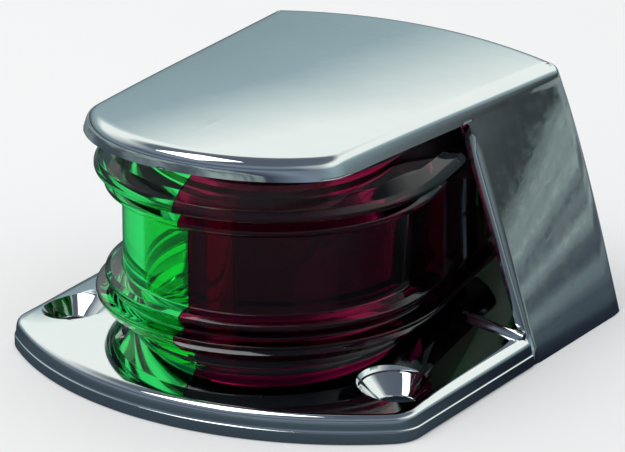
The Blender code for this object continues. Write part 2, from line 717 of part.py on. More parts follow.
def bayonet_pin(side, sign):
    start = CAP_RADIUS - 0.5 * MM
    pin = cylinder("bayonet_pin_" + side, PIN_RADIUS, -(PIN_REACH - start) / 2.0,
                   (PIN_REACH - start) / 2.0, steps=12)
    pin.rotation_euler = (0.0, math.pi / 2.0, 0.0)
    pin.location = (sign * (PIN_REACH + start) / 2.0, BULB_Y - PIN_PLACE, BULB_Z)
    return pin


def make_filament():
    """Two lead wires from the stem, and the filament hung upright between their tips."""
    front = BULB_Y - GLOBE_CENTRE
    root = BULB_Y - 20.0 * MM
    for name, sign in (("bulb_lead_upper", 1.0), ("bulb_lead_lower", -1.0)):
        wire(name, [(0.0, root, BULB_Z + sign * 0.7 * MM), (0.0, root - 1.8 * MM, BULB_Z + sign * 1.2 * MM),
                    (0.0, front + 0.6 * MM, BULB_Z + sign * 3.1 * MM)], LEAD_WIRE, STEEL)
    last = FILAMENT_LOOPS * FILAMENT_STEPS
    coil = []
    for k in range(last + 1):
        angle = 2.0 * math.pi * k / FILAMENT_STEPS
        coil.append((FILAMENT_RADIUS * math.cos(angle), front - LEAD_WIRE + FILAMENT_RADIUS * math.sin(angle),
                     BULB_Z + FILAMENT_LENGTH * (k / last - 0.5)))
    wire("bulb_filament", coil, FILAMENT_WIRE, TUNGSTEN, resolution=0)


def make_holder():
    floor = HOLDER_REAR + HOLDER_FLOOR
    shell = [(HOLDER_OUTER, HOLDER_FRONT), (HOLDER_OUTER, HOLDER_REAR), (HOLDER_EYE, HOLDER_REAR),
             (HOLDER_EYE, floor), (HOLDER_INNER, floor), (HOLDER_INNER, HOLDER_FRONT)]
    barrel = on_bulb_axis(turned("holder_shell", shell, steps=40, material=NICKEL, closed=True))
    run_low = PIN_PLACE - PUSH_TRAVEL - PIN_RADIUS - 2.0 * GAP
    run_high = PIN_PLACE + PIN_RADIUS + 2.0 * GAP
    for side, half_turn in (("port", 0.0), ("starboard", math.pi)):
        slot = slot_cutter("slot_entry_" + side, half_turn + SLOT_TURN, half_turn + SLOT_TURN,
                           run_low, HOLDER_FRONT + MM)
        run = slot_cutter("slot_run_" + side, half_turn, half_turn + SLOT_TURN, run_low, run_high)
        cut(barrel, slot, run)
    washer = turned("holder_insulator", in_metres(INSULATOR_WASHER), steps=28, material=PHENOLIC, closed=True)
    on_bulb_axis(washer)
    chamfer, shoulder = 0.4 * MM, PLUNGER_FACE - MM
    plunger = [(0.0, PLUNGER_FACE), (PLUNGER_HEAD - chamfer, PLUNGER_FACE), (PLUNGER_HEAD, PLUNGER_FACE - chamfer),
               (PLUNGER_HEAD, shoulder), (PLUNGER_PIN, shoulder), (PLUNGER_PIN, PLUNGER_REAR), (0.0, PLUNGER_REAR)]
    on_bulb_axis(turned("contact_plunger", plunger, steps=20, material=BRASS))
    make_spring()
    on_bulb_axis(turned("live_terminal", in_metres(TERMINAL), steps=18, material=BRASS))


def slot_cutter(name, first, last, low, high):
    """A sector of a ring that cuts the barrel between two angles, widened by half a slot."""
    spread = SLOT_WIDTH / 2.0 / HOLDER_OUTER
    inner, outer = HOLDER_INNER - 1.2 * MM, HOLDER_OUTER + 1.5 * MM
    steps = 6
    ring = []
    for radius, order in ((inner, range(steps + 1)), (outer, range(steps, -1, -1))):
        for k in order:
            angle = first - spread + (last - first + 2.0 * spread) * k / steps
            ring.append((radius * math.cos(angle), radius * math.sin(angle)))
    cutter = prism(name, ring, low, high)
    return on_bulb_axis(cutter)


def make_spring():
    """The spring between the insulator washer and the plunger's head."""
    front = PLUNGER_FACE - MM - SPRING_WIRE - 0.2 * MM
    last = int(SPRING_TURNS * COIL_STEPS)
    points = []
    for k in range(last + 1):
        angle = 2.0 * math.pi * k / COIL_STEPS
        along = SPRING_REAR + (front - SPRING_REAR) * k / last
        x, z = SPRING_RADIUS * math.cos(angle), SPRING_RADIUS * math.sin(angle)
        points.append((x, BULB_Y - along, BULB_Z + z))
    wire("contact_spring", points, SPRING_WIRE, STEEL, resolution=1)


def make_bracket():
    """A strap that stands on the base plate behind the barrel and carries it."""
    plate_y = BULB_Y - HOLDER_REAR + GAP + STRAP / 2.0
    rear_y = plate_y + STRAP / 2.0
    foot_z = SEAT_Z + GAP
    top = BULB_Z + HOLDER_OUTER
    foot = box("holder_bracket", (STRAP_WIDTH, rear_y - STRAP_FRONT_Y, STRAP),
               (0.0, (rear_y + STRAP_FRONT_Y) / 2.0, foot_z + STRAP / 2.0), NICKEL)
    upright = box("bracket_upright", (STRAP_WIDTH, STRAP, top - foot_z), (0.0, plate_y, (top + foot_z) / 2.0))
    unite(foot, upright)
    eye = cylinder("bracket_eye", HOLDER_EYE, -3.0 * STRAP, 3.0 * STRAP)
    eye.rotation_euler = (math.pi / 2.0, 0.0, 0.0)
    eye.location = (0.0, plate_y, BULB_Z)
    cut(foot, eye)
    for side, sign in (("port", 1.0), ("starboard", -1.0)):
        place = (sign * RIVET_X, RIVET_Y)
        cut(foot, cylinder("bracket_hole_" + side, RIVET_RADIUS + GAP, BASE_POCKET_Z, DRILL_TOP, place, steps=12))
        turned("bracket_rivet_" + side, in_metres(RIVET), steps=16, material=ALUMINIUM, place=(*place, 0.0))


# ----------------------------------------------------------------------------- fixings and grommet

def make_screw(name, place):
    """A pan-head screw that enters from below, and its washer."""
    top = SCREW_HEAD_TOP + SCREW_LENGTH
    profile = [(0.0, top), (SCREW_RADIUS - 0.5 * MM, top), (SCREW_RADIUS, top - 0.8 * MM),
               (SCREW_RADIUS, SCREW_HEAD_TOP), (SCREW_HEAD, SCREW_HEAD_TOP),
               (SCREW_HEAD, SCREW_HEAD_Z + 0.9 * MM), (SCREW_HEAD - 0.8 * MM, SCREW_HEAD_Z),
               (0.0, SCREW_HEAD_Z)]
    screw = turned("cover_screw_" + name, profile, steps=20, material=STEEL, place=(*place, 0.0))
    for turn in (0.0, math.pi / 2.0):
        recess = box("recess_%s_%d" % (name, turn), (3.6 * MM, 0.8 * MM, 2.4 * MM),
                     (*place, SCREW_HEAD_Z), turn=turn + math.pi / 4.0)
        cut(screw, recess)
    low, high = WASHER_Z
    ring = [(WASHER_RADIUS, high), (WASHER_RADIUS, low), (SCREW_HOLE, low), (SCREW_HOLE, high)]
    turned("cover_washer_" + name, ring, steps=24, material=STEEL, closed=True, place=(*place, 0.0))


def make_screws():
    make_screw("front", FRONT_POST)
    for side, sign in (("port", 1.0), ("starboard", -1.0)):
        make_screw(side, (sign * REAR_POST[0], REAR_POST[1]))


def make_grommet():
    low, high = BASE_POCKET_Z - GAP, SEAT_Z + GAP
    neck = OUTLET_RADIUS - GAP
    profile = [(GROMMET_FLANGE - 0.6 * MM, high + 1.6 * MM), (GROMMET_FLANGE, high + 0.9 * MM),
               (GROMMET_FLANGE, high), (neck, high), (neck, low), (GROMMET_FLANGE, low),
               (GROMMET_FLANGE, low - 0.9 * MM), (GROMMET_FLANGE - 0.6 * MM, low - 1.5 * MM),
               (GROMMET_BORE, low - 1.5 * MM), (GROMMET_BORE, high + 1.6 * MM)]
    turned("wire_grommet", profile, steps=28, material=RUBBER, closed=True, place=(0.0, OUTLET_Y, 0.0))


clear_scene()
LIGHT = make_collection("navigation_light")
CUTTERS = make_collection("cutters")
CHROME = make_material("chrome", (0.80, 0.83, 0.82), 0.06, metallic=1.0)
RED = make_material("red_lens", (0.42, 0.01, 0.03), 0.05, transmission=0.8)
GREEN = make_material("green_lens", (0.02, 0.55, 0.15), 0.05, transmission=0.8)
CLEAR = make_material("clear_glass", (0.95, 0.96, 0.96), 0.02, transmission=1.0)
RUBBER = make_material("black_rubber", (0.03, 0.03, 0.03), 0.8)
BRASS = make_material("brass", (0.72, 0.52, 0.22), 0.3, metallic=1.0)
NICKEL = make_material("nickel_plate", (0.66, 0.64, 0.58), 0.3, metallic=1.0)
STEEL = make_material("stainless_steel", (0.62, 0.62, 0.62), 0.28, metallic=1.0)
TUNGSTEN = make_material("tungsten", (0.28, 0.28, 0.30), 0.4, metallic=1.0)
SOLDER = make_material("solder", (0.60, 0.60, 0.60), 0.4, metallic=1.0)
ALUMINIUM = make_material("aluminium", (0.75, 0.75, 0.76), 0.35, metallic=1.0)
PHENOLIC = make_material("phenolic_board", (0.22, 0.12, 0.06), 0.5)
BLACK_GLASS = make_material("black_insulator", (0.02, 0.02, 0.03), 0.15)
make_base()
make_cover()
make_lens("lens_red", 1.0, RED)
make_lens("lens_green", -1.0, GREEN)
make_gaskets()
make_bulb()
make_holder()
make_bracket()
make_screws()
make_grommet()
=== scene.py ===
"""Looks of the bow navigation light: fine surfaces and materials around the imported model.

Metres, +Z up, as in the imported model: the deck is z = 0, the bow is -Y and port, with the red lens, is +X.
"""
import math

import bmesh
import bpy
from mathutils import Matrix, Vector


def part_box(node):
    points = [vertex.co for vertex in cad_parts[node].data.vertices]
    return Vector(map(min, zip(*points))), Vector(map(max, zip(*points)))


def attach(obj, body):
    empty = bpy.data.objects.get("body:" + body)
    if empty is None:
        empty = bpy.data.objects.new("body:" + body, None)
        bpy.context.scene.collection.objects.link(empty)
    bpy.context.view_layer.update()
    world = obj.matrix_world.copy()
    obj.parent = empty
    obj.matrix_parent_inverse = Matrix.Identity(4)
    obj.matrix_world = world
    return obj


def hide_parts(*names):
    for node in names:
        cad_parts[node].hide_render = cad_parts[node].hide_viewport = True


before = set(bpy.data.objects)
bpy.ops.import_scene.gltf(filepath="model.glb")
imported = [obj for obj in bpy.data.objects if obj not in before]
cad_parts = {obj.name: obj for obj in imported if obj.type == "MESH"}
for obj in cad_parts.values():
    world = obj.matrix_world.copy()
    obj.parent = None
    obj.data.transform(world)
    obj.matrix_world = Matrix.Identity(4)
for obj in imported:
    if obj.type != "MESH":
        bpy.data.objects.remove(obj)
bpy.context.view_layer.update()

MM = 0.001

# --- Castings: the footprint on the deck and the roof above it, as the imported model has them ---
FOOT_FRONT = (43.4 * MM, -31.4 * MM, 16.8 * MM)
FOOT_REAR = (44.55 * MM, 43.51 * MM, 4.69 * MM)
FOOT_CORNER = 7.0 * MM
HOOD_FRONT = (26.0 * MM, -29.7 * MM, 14.7 * MM)
HOOD_REAR = (31.3 * MM, 40.3 * MM, 4.69 * MM)
HOOD_CORNER = 9.0 * MM
REAR_CORNER = 1.6 * MM
REAR_SHOULDER_POWER = 3.3
HOOD_FRONT_Z = 49.34 * MM
HOOD_REAR_Z = 47.9 * MM
HOOD_CROWN = 1.25 * MM
HOOD_BOW_DROP = 0.3 * MM
HOOD_EDGE_RADIUS = 2.3 * MM
WALL = 2.0 * MM
ROOF = 2.3 * MM
LIP_HEIGHT = 3.7 * MM
CHEEK_FOOT_Y = 11.4 * MM
CHEEK_TOP_Y = 9.5 * MM
CHEEK_TOP_Z = 46.0 * MM
EDGE_BREAK = 0.3 * MM
CHEEK_EDGE = 1.1 * MM
CASTING_MARK = (-4.6 * MM, -29.0 * MM)
MARK_RADIUS = 3.0 * MM
MARK_HEIGHT = 0.11 * MM
LEAST_FILLET = 0.4 * MM
# Depths under the roof of the rings outside and inside the lip, and the inner corner's (inset, depth).
LIP_OUTER_DROPS = (2.7 * MM, 3.2 * MM, LIP_HEIGHT)
LIP_INNER_DROPS = (3.3 * MM, 2.8 * MM)
LIP_CORNER = ((0.2 * MM, 0.2 * MM), (0.8 * MM, 0.0))
# How far the line in the middle of a cap stops short of its front and its rear.
SPINE_FRONT = 22.0 * MM
SPINE_REAR = 12.0 * MM

# --- Base plate ---
# Inset and height of the side wall: a flat lower band, a crease, and a convex upper band.
BASE_SIDE = ((0.3, 0.0), (0.05, 0.1), (0.0, 0.35), (0.0, 1.2), (0.0, 1.95), (0.05, 2.15), (0.19, 2.28),
             (0.25, 2.4), (0.28, 2.8), (0.33, 3.4), (0.42, 4.0), (0.56, 4.5), (0.86, 4.85))
BASE_TOP_INSET = 1.35 * MM
BASE_EDGE_Z = 5.0 * MM
BASE_DOME = 3.3 * MM
BASE_DOME_Y = 5.0 * MM
BASE_POCKET_Z = 4.0 * MM
BASE_POCKET_INSET = 3.0 * MM
BASE_STEP_Y = 10.65 * MM
BASE_BEHIND_INSET = 2.3 * MM
COVER_LEAN = 0.31
SEAT_Z = 6.2 * MM
SEAT_CLEARANCE = 0.6 * MM
RIDGE_Y = 9.9 * MM
RIDGE_X = (30.6 * MM, 42.3 * MM)
RIDGE_RADIUS = 0.75 * MM
RIDGE_RISE = 0.15 * MM
MOUNT_HOLE = (35.2 * MM, -22.9 * MM)
MOUNT_HOLE_RADIUS = 3.4 * MM
MOUNT_BOSS_RADIUS = 7.4 * MM
MOUNT_BOSS_TOP = 4.6
COUNTERSINK_RADIUS = 6.65 * MM
COUNTERSINK_DEPTH = 3.4 * MM

# --- Lens ---
LENS_Y = -8.85 * MM
LENS_Z = 25.7 * MM
LENS_REAR_Y = 29.5 * MM
LENS_LEAN = math.radians(9.9)
LENS_SWEEP = math.pi / 2.0 + LENS_LEAN
LENS_STEP_Y = 2.3 * MM
LENS_POCKET_Y = 5.0 * MM
LENS_STEP_WIDTH = 0.05 * MM
LENS_INNER = 23.8
LENS_NECK = 25.8
LENS_HALF_HEIGHT = 18.3
LENS_POCKET_INNER = 27.0
LENS_POCKET_HALF = 12.0
LENS_SIDE = 30.9
LENS_BAND_HALF = 9.2
SEAM_HALF = 0.1 * MM
# Radius, height above the middle and rounding of each corner, in mm, from the plain band up to the neck.
LENS_RINGS = ((27.6, 7.7, 0.35), (29.9, 7.9, 0.3), (30.9, 8.6, 0.5), (30.9, 9.3, 0.4), (28.9, 11.5, 0.3),
              (32.65, 11.6, 0.35), (32.65, 12.4, 0.8), (31.9, 13.6, 1.2), (30.0, 15.2, 0.6),
              (LENS_NECK, 17.1, 0.3), (LENS_NECK, LENS_HALF_HEIGHT, 0.0))
# Body, bottom and top of each gasket, and the rib on the upper one, in mm from the lens's middle.
GASKETS = {"lower": ("base", -19.35, -18.45), "upper": ("cover", 18.45, 19.65)}
RIB = (19.9, 22.4)

# --- Bulb, holder and fixings: a number without MM is in millimetres ---
BULB_CENTRE = 25.5
BULB_RADIUS = 9.25
BULB_INSIDE = 8.55
BULB_Y = LENS_Y + BULB_CENTRE * MM
BULB_TWIST = math.radians(20.0)
PIN_ALONG = 6.5
FILAMENT_LENGTH = 5.6 * MM
FILAMENT_RADIUS = 0.42 * MM
FILAMENT_WIRE = 0.06 * MM
FILAMENT_LOOPS = 22
LEAD_WIRE = 0.2 * MM
BARREL_RADIUS = 8.7
SLOT_HALF_WIDTH = 1.3
SLOT_RADII = (6.7, 10.2)
SPRING_START = -6.1
SPRING_LENGTH = 3.4
SPRING_TURNS = 3.5
SPRING_RADIUS = 2.65 * MM
SPRING_WIRE = 0.28 * MM
STRAP_THICKNESS = 1.0 * MM
STRAP_EDGE = 0.2 * MM
STRAP_EYE = (4.6, -12.5, -8.5)
POSTS = {"front": (0.0, -27.0 * MM), "port": (31.6 * MM, 37.6 * MM), "starboard": (-31.6 * MM, 37.6 * MM)}
RIVETS = {"port": (5.2 * MM, 19.5 * MM), "starboard": (-5.2 * MM, 19.5 * MM)}
OUTLET_Y = 37.0 * MM
OUTLET_RADIUS = 4.9
OUTLET_RECESS = 7.5
# Height of the foot and radius of the cover's posts, and their bore.
FRONT_POST = (6.5, 3.6)
REAR_POST = (7.9, 3.9)
REAR_POST_TOP = 25.0
POST_BORE = 2.3
POST_BORE_DEPTH = 13.0
WASHER_RECESS = 4.5
RIVET_HOLE = 1.65
# Heights at which cutting shapes start and end.
TOOL_BELOW = -1.0
TOOL_TOP = 9.0
TOOL_HIGH_TOP = 12.0
SCREW_TIP = 15.05
THREAD_TOP = 14.4
THREAD_FOOT = 3.9
THREAD_RADIUS = 2.0
THREAD_PITCH = 0.7
THREAD_DEPTH = 0.28

# --- Finish of the cover's inner faces ---
UNPOLISHED = "unpolished"
RAW_CASTING = (0.80, 0.84, 0.90)
RAW_ROUGHNESS = 0.45
BACK_WALL_Y = 30.0 * MM
FACES_IN = 0.5
SIDE_FACES_IN = 0.3

# --- Materials ---
# Where nearly all of a noise lies, and how much finer the gloss is clouded than the colour.
NOISE_RANGE = (0.3, 0.7)
FINER = 6.0
BRUSHED = (1.0, 1.0, 12.0)

# --- Mesh density and view ---
BOW_STEPS = 44
CORNER_STEPS = 8
SIDE_STEPS = 16
REAR_STEPS = 24
ROLL_RINGS = 9
ROOF_RINGS = 26
WALL_RINGS = 16
BASE_TOP_RINGS = 34
BASE_BOTTOM_RINGS = 8
MEETING_PASSES = 14
RIDGE_STEPS = 12
SEAT_STEPS = 48
LENS_BOW_STEPS = 72
LENS_SIDE_STEPS = 8
LENS_REAR_STEPS = 10
LENS_SPACING = 1.2
GASKET_BOW_STEPS = 60
COIL_STEPS = 12
SPRING_STEPS = 28
FINE_TURN = 96
WELD = 0.002 * MM
SHARP = math.radians(33.0)
STRAIGHT = math.radians(88.5)
CAMERA_AIM = Vector((0.6, 2.6, 20.9)) * MM
CAMERA_AZIMUTH = math.radians(32.59)
CAMERA_ELEVATION = math.radians(20.62)
CAMERA_ROLL = math.radians(0.09)
CAMERA_DISTANCE = 750.3 * MM
CAMERA_LENS = 233.5
CAMERA_SHIFT = (0.0036, 0.0021)

# --- Studio: the room that chrome mirrors has colours by height, beyond the light and behind the camera ---
FLOOR_RADIUS = 2.5
FLOOR_Z = -0.05 * MM
FLOOR_COLOUR = (0.74, 0.745, 0.75, 1.0)
# Painted shade on the floor as chrome mirrors it: clouded dark tones, and darker still close to the light.
FLOOR_CLOUDS = ((0.40, (0.08, 0.10, 0.12)), (0.56, (0.27, 0.34, 0.34)))
FLOOR_PAINTED_SHADE_BY_DISTANCE = ((0.05, (0.16, 0.18, 0.24)), (0.14, (0.35, 0.38, 0.44)), (0.40, (1.0, 1.0, 1.0)))
ROOM_FAR = ((0.0, (0.04, 0.05, 0.055)), (0.04, (0.10, 0.12, 0.13)), (0.14, (0.22, 0.30, 0.34)),
            (0.27, (0.32, 0.44, 0.48)), (0.375, (0.94, 1.00, 0.98)), (0.62, (0.98, 1.02, 1.00)),
            (0.76, (0.14, 0.17, 0.21)), (1.0, (0.10, 0.12, 0.16)))
ROOM_NEAR = ((0.0, (0.05, 0.06, 0.09)), (0.12, (0.20, 0.25, 0.33)), (0.34, (0.08, 0.10, 0.14)),
             (0.60, (0.22, 0.27, 0.34)), (0.80, (0.10, 0.12, 0.16)), (1.0, (0.10, 0.12, 0.16)))
ROOM_BLEND_Y = (-0.45, 0.25)


# --- materials ---

def add_node(tree, kind, **settings):
    """A shader node. A setting named like an attribute is set on it; any other goes to an input socket."""
    node = tree.nodes.new(kind)
    for name, value in settings.items():
        if hasattr(node, name):
            setattr(node, name, value)
        else:
            node.inputs[name.replace("_", " ")].default_value = value
    return node


def between(tree, source, low, high):
    """Map the middle of a noise to another range."""
    node = add_node(tree, "ShaderNodeMapRange", From_Min=NOISE_RANGE[0], From_Max=NOISE_RANGE[1], To_Min=low,
                    To_Max=high)
    tree.links.new(source, node.inputs["Value"])
    return node.outputs["Result"]


def mixture(tree, factor, first, second, **settings):
    """A mix of two colours. Each of the three is a value or another node's output."""
    node = add_node(tree, "ShaderNodeMix", data_type="RGBA", **settings)
    for name, source in (("Factor", factor), ("A", first), ("B", second)):
        if isinstance(source, bpy.types.NodeSocket):
            tree.links.new(source, node.inputs[name])
        else:
            node.inputs[name].default_value = source
    return node.outputs["Result"]


def make_material(name, dark, light, roughness, grain, bump, stretch=(1.0, 1.0, 1.0), **sockets):
    """Two close colours clouded together, with uneven gloss and a faint relief, all of a grain's size."""
    material = bpy.data.materials.new(name)
    material.use_nodes = True
    tree = material.node_tree
    shader = tree.nodes["Principled BSDF"]
    for socket, value in sockets.items():
        shader.inputs[socket.replace("_", " ")].default_value = value
    place = add_node(tree, "ShaderNodeTexCoord")
    mapping = add_node(tree, "ShaderNodeMapping")
    mapping.inputs["Scale"].default_value = stretch
    tree.links.new(place.outputs["Object"], mapping.inputs["Vector"])
    coarse = add_node(tree, "ShaderNodeTexNoise", Scale=1.0 / grain, Detail=4.0)
    small = add_node(tree, "ShaderNodeTexNoise", Scale=FINER / grain, Detail=3.0)
    for noise in (coarse, small):
        tree.links.new(mapping.outputs["Vector"], noise.inputs["Vector"])
    colour = mixture(tree, coarse.outputs["Fac"], (*dark, 1.0), (*light, 1.0))
    tree.links.new(colour, shader.inputs["Base Color"])
    tree.links.new(between(tree, small.outputs["Fac"], *roughness), shader.inputs["Roughness"])
    relief = add_node(tree, "ShaderNodeBump", Strength=1.0, Distance=bump)
    tree.links.new(coarse.outputs["Fac"], relief.inputs["Height"])
    tree.links.new(relief.outputs["Normal"], shader.inputs["Normal"])
    return material


def chrome():
    """Bright plate over a polished casting, whose slow waves bend reflections. Inside it is unpolished."""
    material = make_material("chrome", (0.77, 0.80, 0.79), (0.84, 0.87, 0.86), (0.025, 0.075), 14.0 * MM,
                             0.020 * MM, Metallic=1.0)
    tree = material.node_tree
    shader = tree.nodes["Principled BSDF"]
    inside = add_node(tree, "ShaderNodeAttribute", attribute_name=UNPOLISHED)
    for socket, value in (("Base Color", (*RAW_CASTING, 1.0)), ("Roughness", (RAW_ROUGHNESS,) * 3 + (1.0,)),
                          ("Metallic", (0.0, 0.0, 0.0, 1.0))):
        links = shader.inputs[socket].links
        polished = links[0].from_socket if links else (1.0, 1.0, 1.0, 1.0)
        tree.links.new(mixture(tree, inside.outputs["Fac"], polished, value), shader.inputs[socket])
    return material


def mark_unpolished(mesh):
    """Mark the faces under the cover's roof that look down, towards the middle or forwards from the back."""
    marks = mesh.attributes.new(UNPOLISHED, "FLOAT", "FACE")
    for mark, face in zip(marks.data, mesh.polygons):
        side = math.copysign(1.0, face.center.x)
        under = face.center.z < hood_height(face.center.x, face.center.y) - ROOF / 2.0
        behind = face.normal.y < -FACES_IN and face.center.y > BACK_WALL_Y
        beside = face.normal.x * side < -SIDE_FACES_IN
        mark.value = float(under and (behind or beside or face.normal.z < -FACES_IN))


METAL = {"Metallic": 1.0}
ACRYLIC = {"Transmission_Weight": 1.0, "IOR": 1.49}
# Dark and light colour, range of roughness, size of grain and depth of relief in mm, and other settings.
FINISHES = {
    "red_lens": ((0.15, 0.002, 0.028), (0.25, 0.004, 0.045), (0.01, 0.045), 9.0, 0.012, ACRYLIC),
    "green_lens": ((0.015, 0.74, 0.12), (0.05, 0.85, 0.20), (0.01, 0.045), 9.0, 0.012, ACRYLIC),
    "clear_glass": ((0.95, 0.97, 0.96), (1.0, 1.0, 1.0), (0.0, 0.03), 6.0, 0.002,
                    {"Transmission_Weight": 1.0, "IOR": 1.5}),
    "black_rubber": ((0.018, 0.018, 0.019), (0.045, 0.044, 0.043), (0.62, 0.85), 1.5, 0.03,
                     {"Specular_IOR_Level": 0.35}),
    "brass": ((0.60, 0.40, 0.15), (0.80, 0.61, 0.29), (0.16, 0.34), 5.0, 0.01, METAL),
    "nickel_plate": ((0.56, 0.54, 0.48), (0.71, 0.69, 0.64), (0.18, 0.34), 4.0, 0.008,
                     {"stretch": BRUSHED, **METAL}),
    "stainless_steel": ((0.50, 0.50, 0.51), (0.68, 0.68, 0.68), (0.16, 0.32), 2.0, 0.006,
                        {"stretch": BRUSHED, **METAL}),
    "tungsten": ((0.20, 0.20, 0.22), (0.34, 0.34, 0.36), (0.3, 0.5), 0.5, 0.004, METAL),
    "solder": ((0.48, 0.48, 0.49), (0.68, 0.68, 0.68), (0.25, 0.5), 1.2, 0.05, METAL),
    "aluminium": ((0.68, 0.68, 0.69), (0.82, 0.82, 0.83), (0.25, 0.42), 1.5, 0.01, METAL),
    "phenolic_board": ((0.14, 0.065, 0.028), (0.29, 0.16, 0.08), (0.42, 0.62), 1.2, 0.012,
                       {"stretch": (0.4, 5.0, 0.4)}),
    "black_insulator": ((0.010, 0.010, 0.014), (0.030, 0.030, 0.036), (0.06, 0.18), 2.0, 0.01,
                        {"Coat_Weight": 0.3}),
}


def all_materials():
    materials = {"chrome": chrome()}
    for name, (dark, light, roughness, grain, bump, settings) in FINISHES.items():
        materials[name] = make_material(name, dark, light, roughness, grain * MM, bump * MM, **settings)
    return materials


# --- mesh helpers ---

def plain_mesh(name, bm):
    """A mesh with a bmesh's shape. The bmesh is freed."""
    mesh = bpy.data.meshes.new(name)
    bm.to_mesh(mesh)
    bm.free()
    return mesh


def finish_mesh(name, bm):
    """A welded mesh, smooth but for its sharp edges."""
    bmesh.ops.remove_doubles(bm, verts=bm.verts, dist=WELD)
    bmesh.ops.recalc_face_normals(bm, faces=bm.faces)
    mesh = plain_mesh(name, bm)
    mesh.shade_smooth()
    mesh.set_sharp_from_angle(angle=SHARP)
    return mesh


def add_piece(name, mesh, slot, body, *nodes):
    """Show a mesh as a piece that stands for CAD nodes, moves with a body and takes a slot's finish."""
    mesh.materials.clear()
    mesh.materials.append(MATERIALS[slot])
    piece = bpy.data.objects.new(name, mesh)
    bpy.context.scene.collection.objects.link(piece)
    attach(piece, body)
    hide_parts(*nodes)


def add_shape(name, bm, slot, body, node):
    """Show a bmesh as a piece."""
    add_piece(name, finish_mesh(name, bm), slot, body, node)


def join_rings(bm, lower, upper, closed=False):
    """Faces between two rows of vertices of equal length."""
    count = len(lower)
    for i in range(count if closed else count - 1):
        j = (i + 1) % count
        bm.faces.new((lower[i], lower[j], upper[j], upper[i]))


def join_all(bm, rings, closed=False):
    for first, second in zip(rings, rings[1:]):
        join_rings(bm, first, second, closed)


def close_tube(bm, rings):
    """Faces along closed rings and over both ends, with their normals outwards."""
    join_all(bm, rings, closed=True)
    bm.faces.new(rings[0])
    bm.faces.new(list(reversed(rings[-1])))
    bmesh.ops.recalc_face_normals(bm, faces=bm.faces)


def rounded(points, radii, closed=False, steps=4):
    """A flat outline with its corners replaced by arcs."""
    result = []
    count = len(points)
    for i, (point, radius) in enumerate(zip(points, radii)):
        here = Vector(point)
        if radius == 0.0 or (not closed and i in (0, count - 1)):
            result.append(tuple(here))
            continue
        back = Vector(points[i - 1]) - here
        ahead = Vector(points[(i + 1) % count]) - here
        half = back.angle(ahead) / 2.0
        if half > STRAIGHT:
            result.append(tuple(here))
            continue
        reach = min(radius / math.tan(half), 0.45 * back.length, 0.45 * ahead.length)
        radius = reach * math.tan(half)
        centre = here + (back.normalized() + ahead.normalized()).normalized() * (radius / math.sin(half))
        start = (here + back.normalized() * reach - centre).normalized()
        end = (here + ahead.normalized() * reach - centre).normalized()
        result += [tuple(centre + start.slerp(end, k / steps) * radius) for k in range(steps + 1)]
    return result


def in_mm(points):
    return [(x * MM, y * MM) for x, y in points]


def turned(profile, steps=FINE_TURN, closed=True, matrix=Matrix.Identity(4)):
    """A bmesh of a profile of (radius, height) turned round Z and then placed."""
    bm = bmesh.new()
    rings = []
    for radius, height in profile:
        angles = [2.0 * math.pi * k / steps for k in range(steps)]
        rings.append([bm.verts.new((radius * math.cos(a), radius * math.sin(a), height)) for a in angles])
    join_all(bm, rings, closed=True)
    if closed:
        join_rings(bm, rings[-1], rings[0], closed=True)
    bmesh.ops.remove_doubles(bm, verts=bm.verts, dist=WELD)
    bmesh.ops.transform(bm, matrix=matrix, verts=bm.verts)
    bmesh.ops.recalc_face_normals(bm, faces=bm.faces)
    return bm


def drum(radius, low, high, steps, matrix, closed=True):
    """A bmesh cylinder of a radius and heights in mm, turned about Z and then placed."""
    return turned(in_mm(((0.0, low), (radius, low), (radius, high), (0.0, high))), steps, closed, matrix)


def even(points, radius):
    """A closed profile in mm with all its corners rounded alike."""
    return in_mm(rounded(points, [radius] * len(points), True))


def bar(size, centre, turn=0.0, bevel=0.0):
    """A bmesh block with broken edges."""
    bm = bmesh.new()
    bmesh.ops.create_cube(bm, size=1.0)
    bmesh.ops.scale(bm, vec=Vector(size), verts=bm.verts)
    if bevel > 0.0:
        bmesh.ops.bevel(bm, geom=bm.edges[:], offset=bevel, segments=3, affect="EDGES", profile=0.5)
    matrix = Matrix.Translation(centre) @ Matrix.Rotation(turn, 4, "Z")
    bmesh.ops.transform(bm, matrix=matrix, verts=bm.verts)
    return bm


def prism(outline, bottom, top):
    """A bmesh block with upright sides over an outline."""
    bm = bmesh.new()
    rings = [[bm.verts.new((x, y, z)) for x, y in outline] for z in (bottom, top)]
    join_rings(bm, rings[0], rings[1], closed=True)
    bm.faces.new(list(reversed(rings[0])))
    bm.faces.new(rings[1])
    bmesh.ops.recalc_face_normals(bm, faces=bm.faces)
    return bm


def scratch_object(name, mesh):
    item = bpy.data.objects.new(name, mesh)
    bpy.context.scene.collection.objects.link(item)
    return item


def evaluated(item):
    """A bmesh of what an object's modifiers or its curve settings make of it."""
    bpy.context.view_layer.update()
    mesh = bpy.data.meshes.new_from_object(item.evaluated_get(bpy.context.evaluated_depsgraph_get()))
    bm = bmesh.new()
    bm.from_mesh(mesh)
    return bm


def combined(mesh, tools):
    """Apply Boolean steps, a list of (operation, bmesh), and return the new mesh."""
    item = scratch_object(mesh.name, mesh)
    helpers = []
    for number, (operation, bm) in enumerate(tools):
        name = "tool_%d" % number
        helper = scratch_object(name, plain_mesh(name, bm))
        helpers.append(helper)
        step = item.modifiers.new(helper.name, "BOOLEAN")
        step.operation = operation
        step.object = helper
        step.solver = "EXACT"
    done = evaluated(item)
    for scratch in (*helpers, item):
        bpy.data.objects.remove(scratch)
    return finish_mesh(mesh.name, done)


# --- plan outlines ---

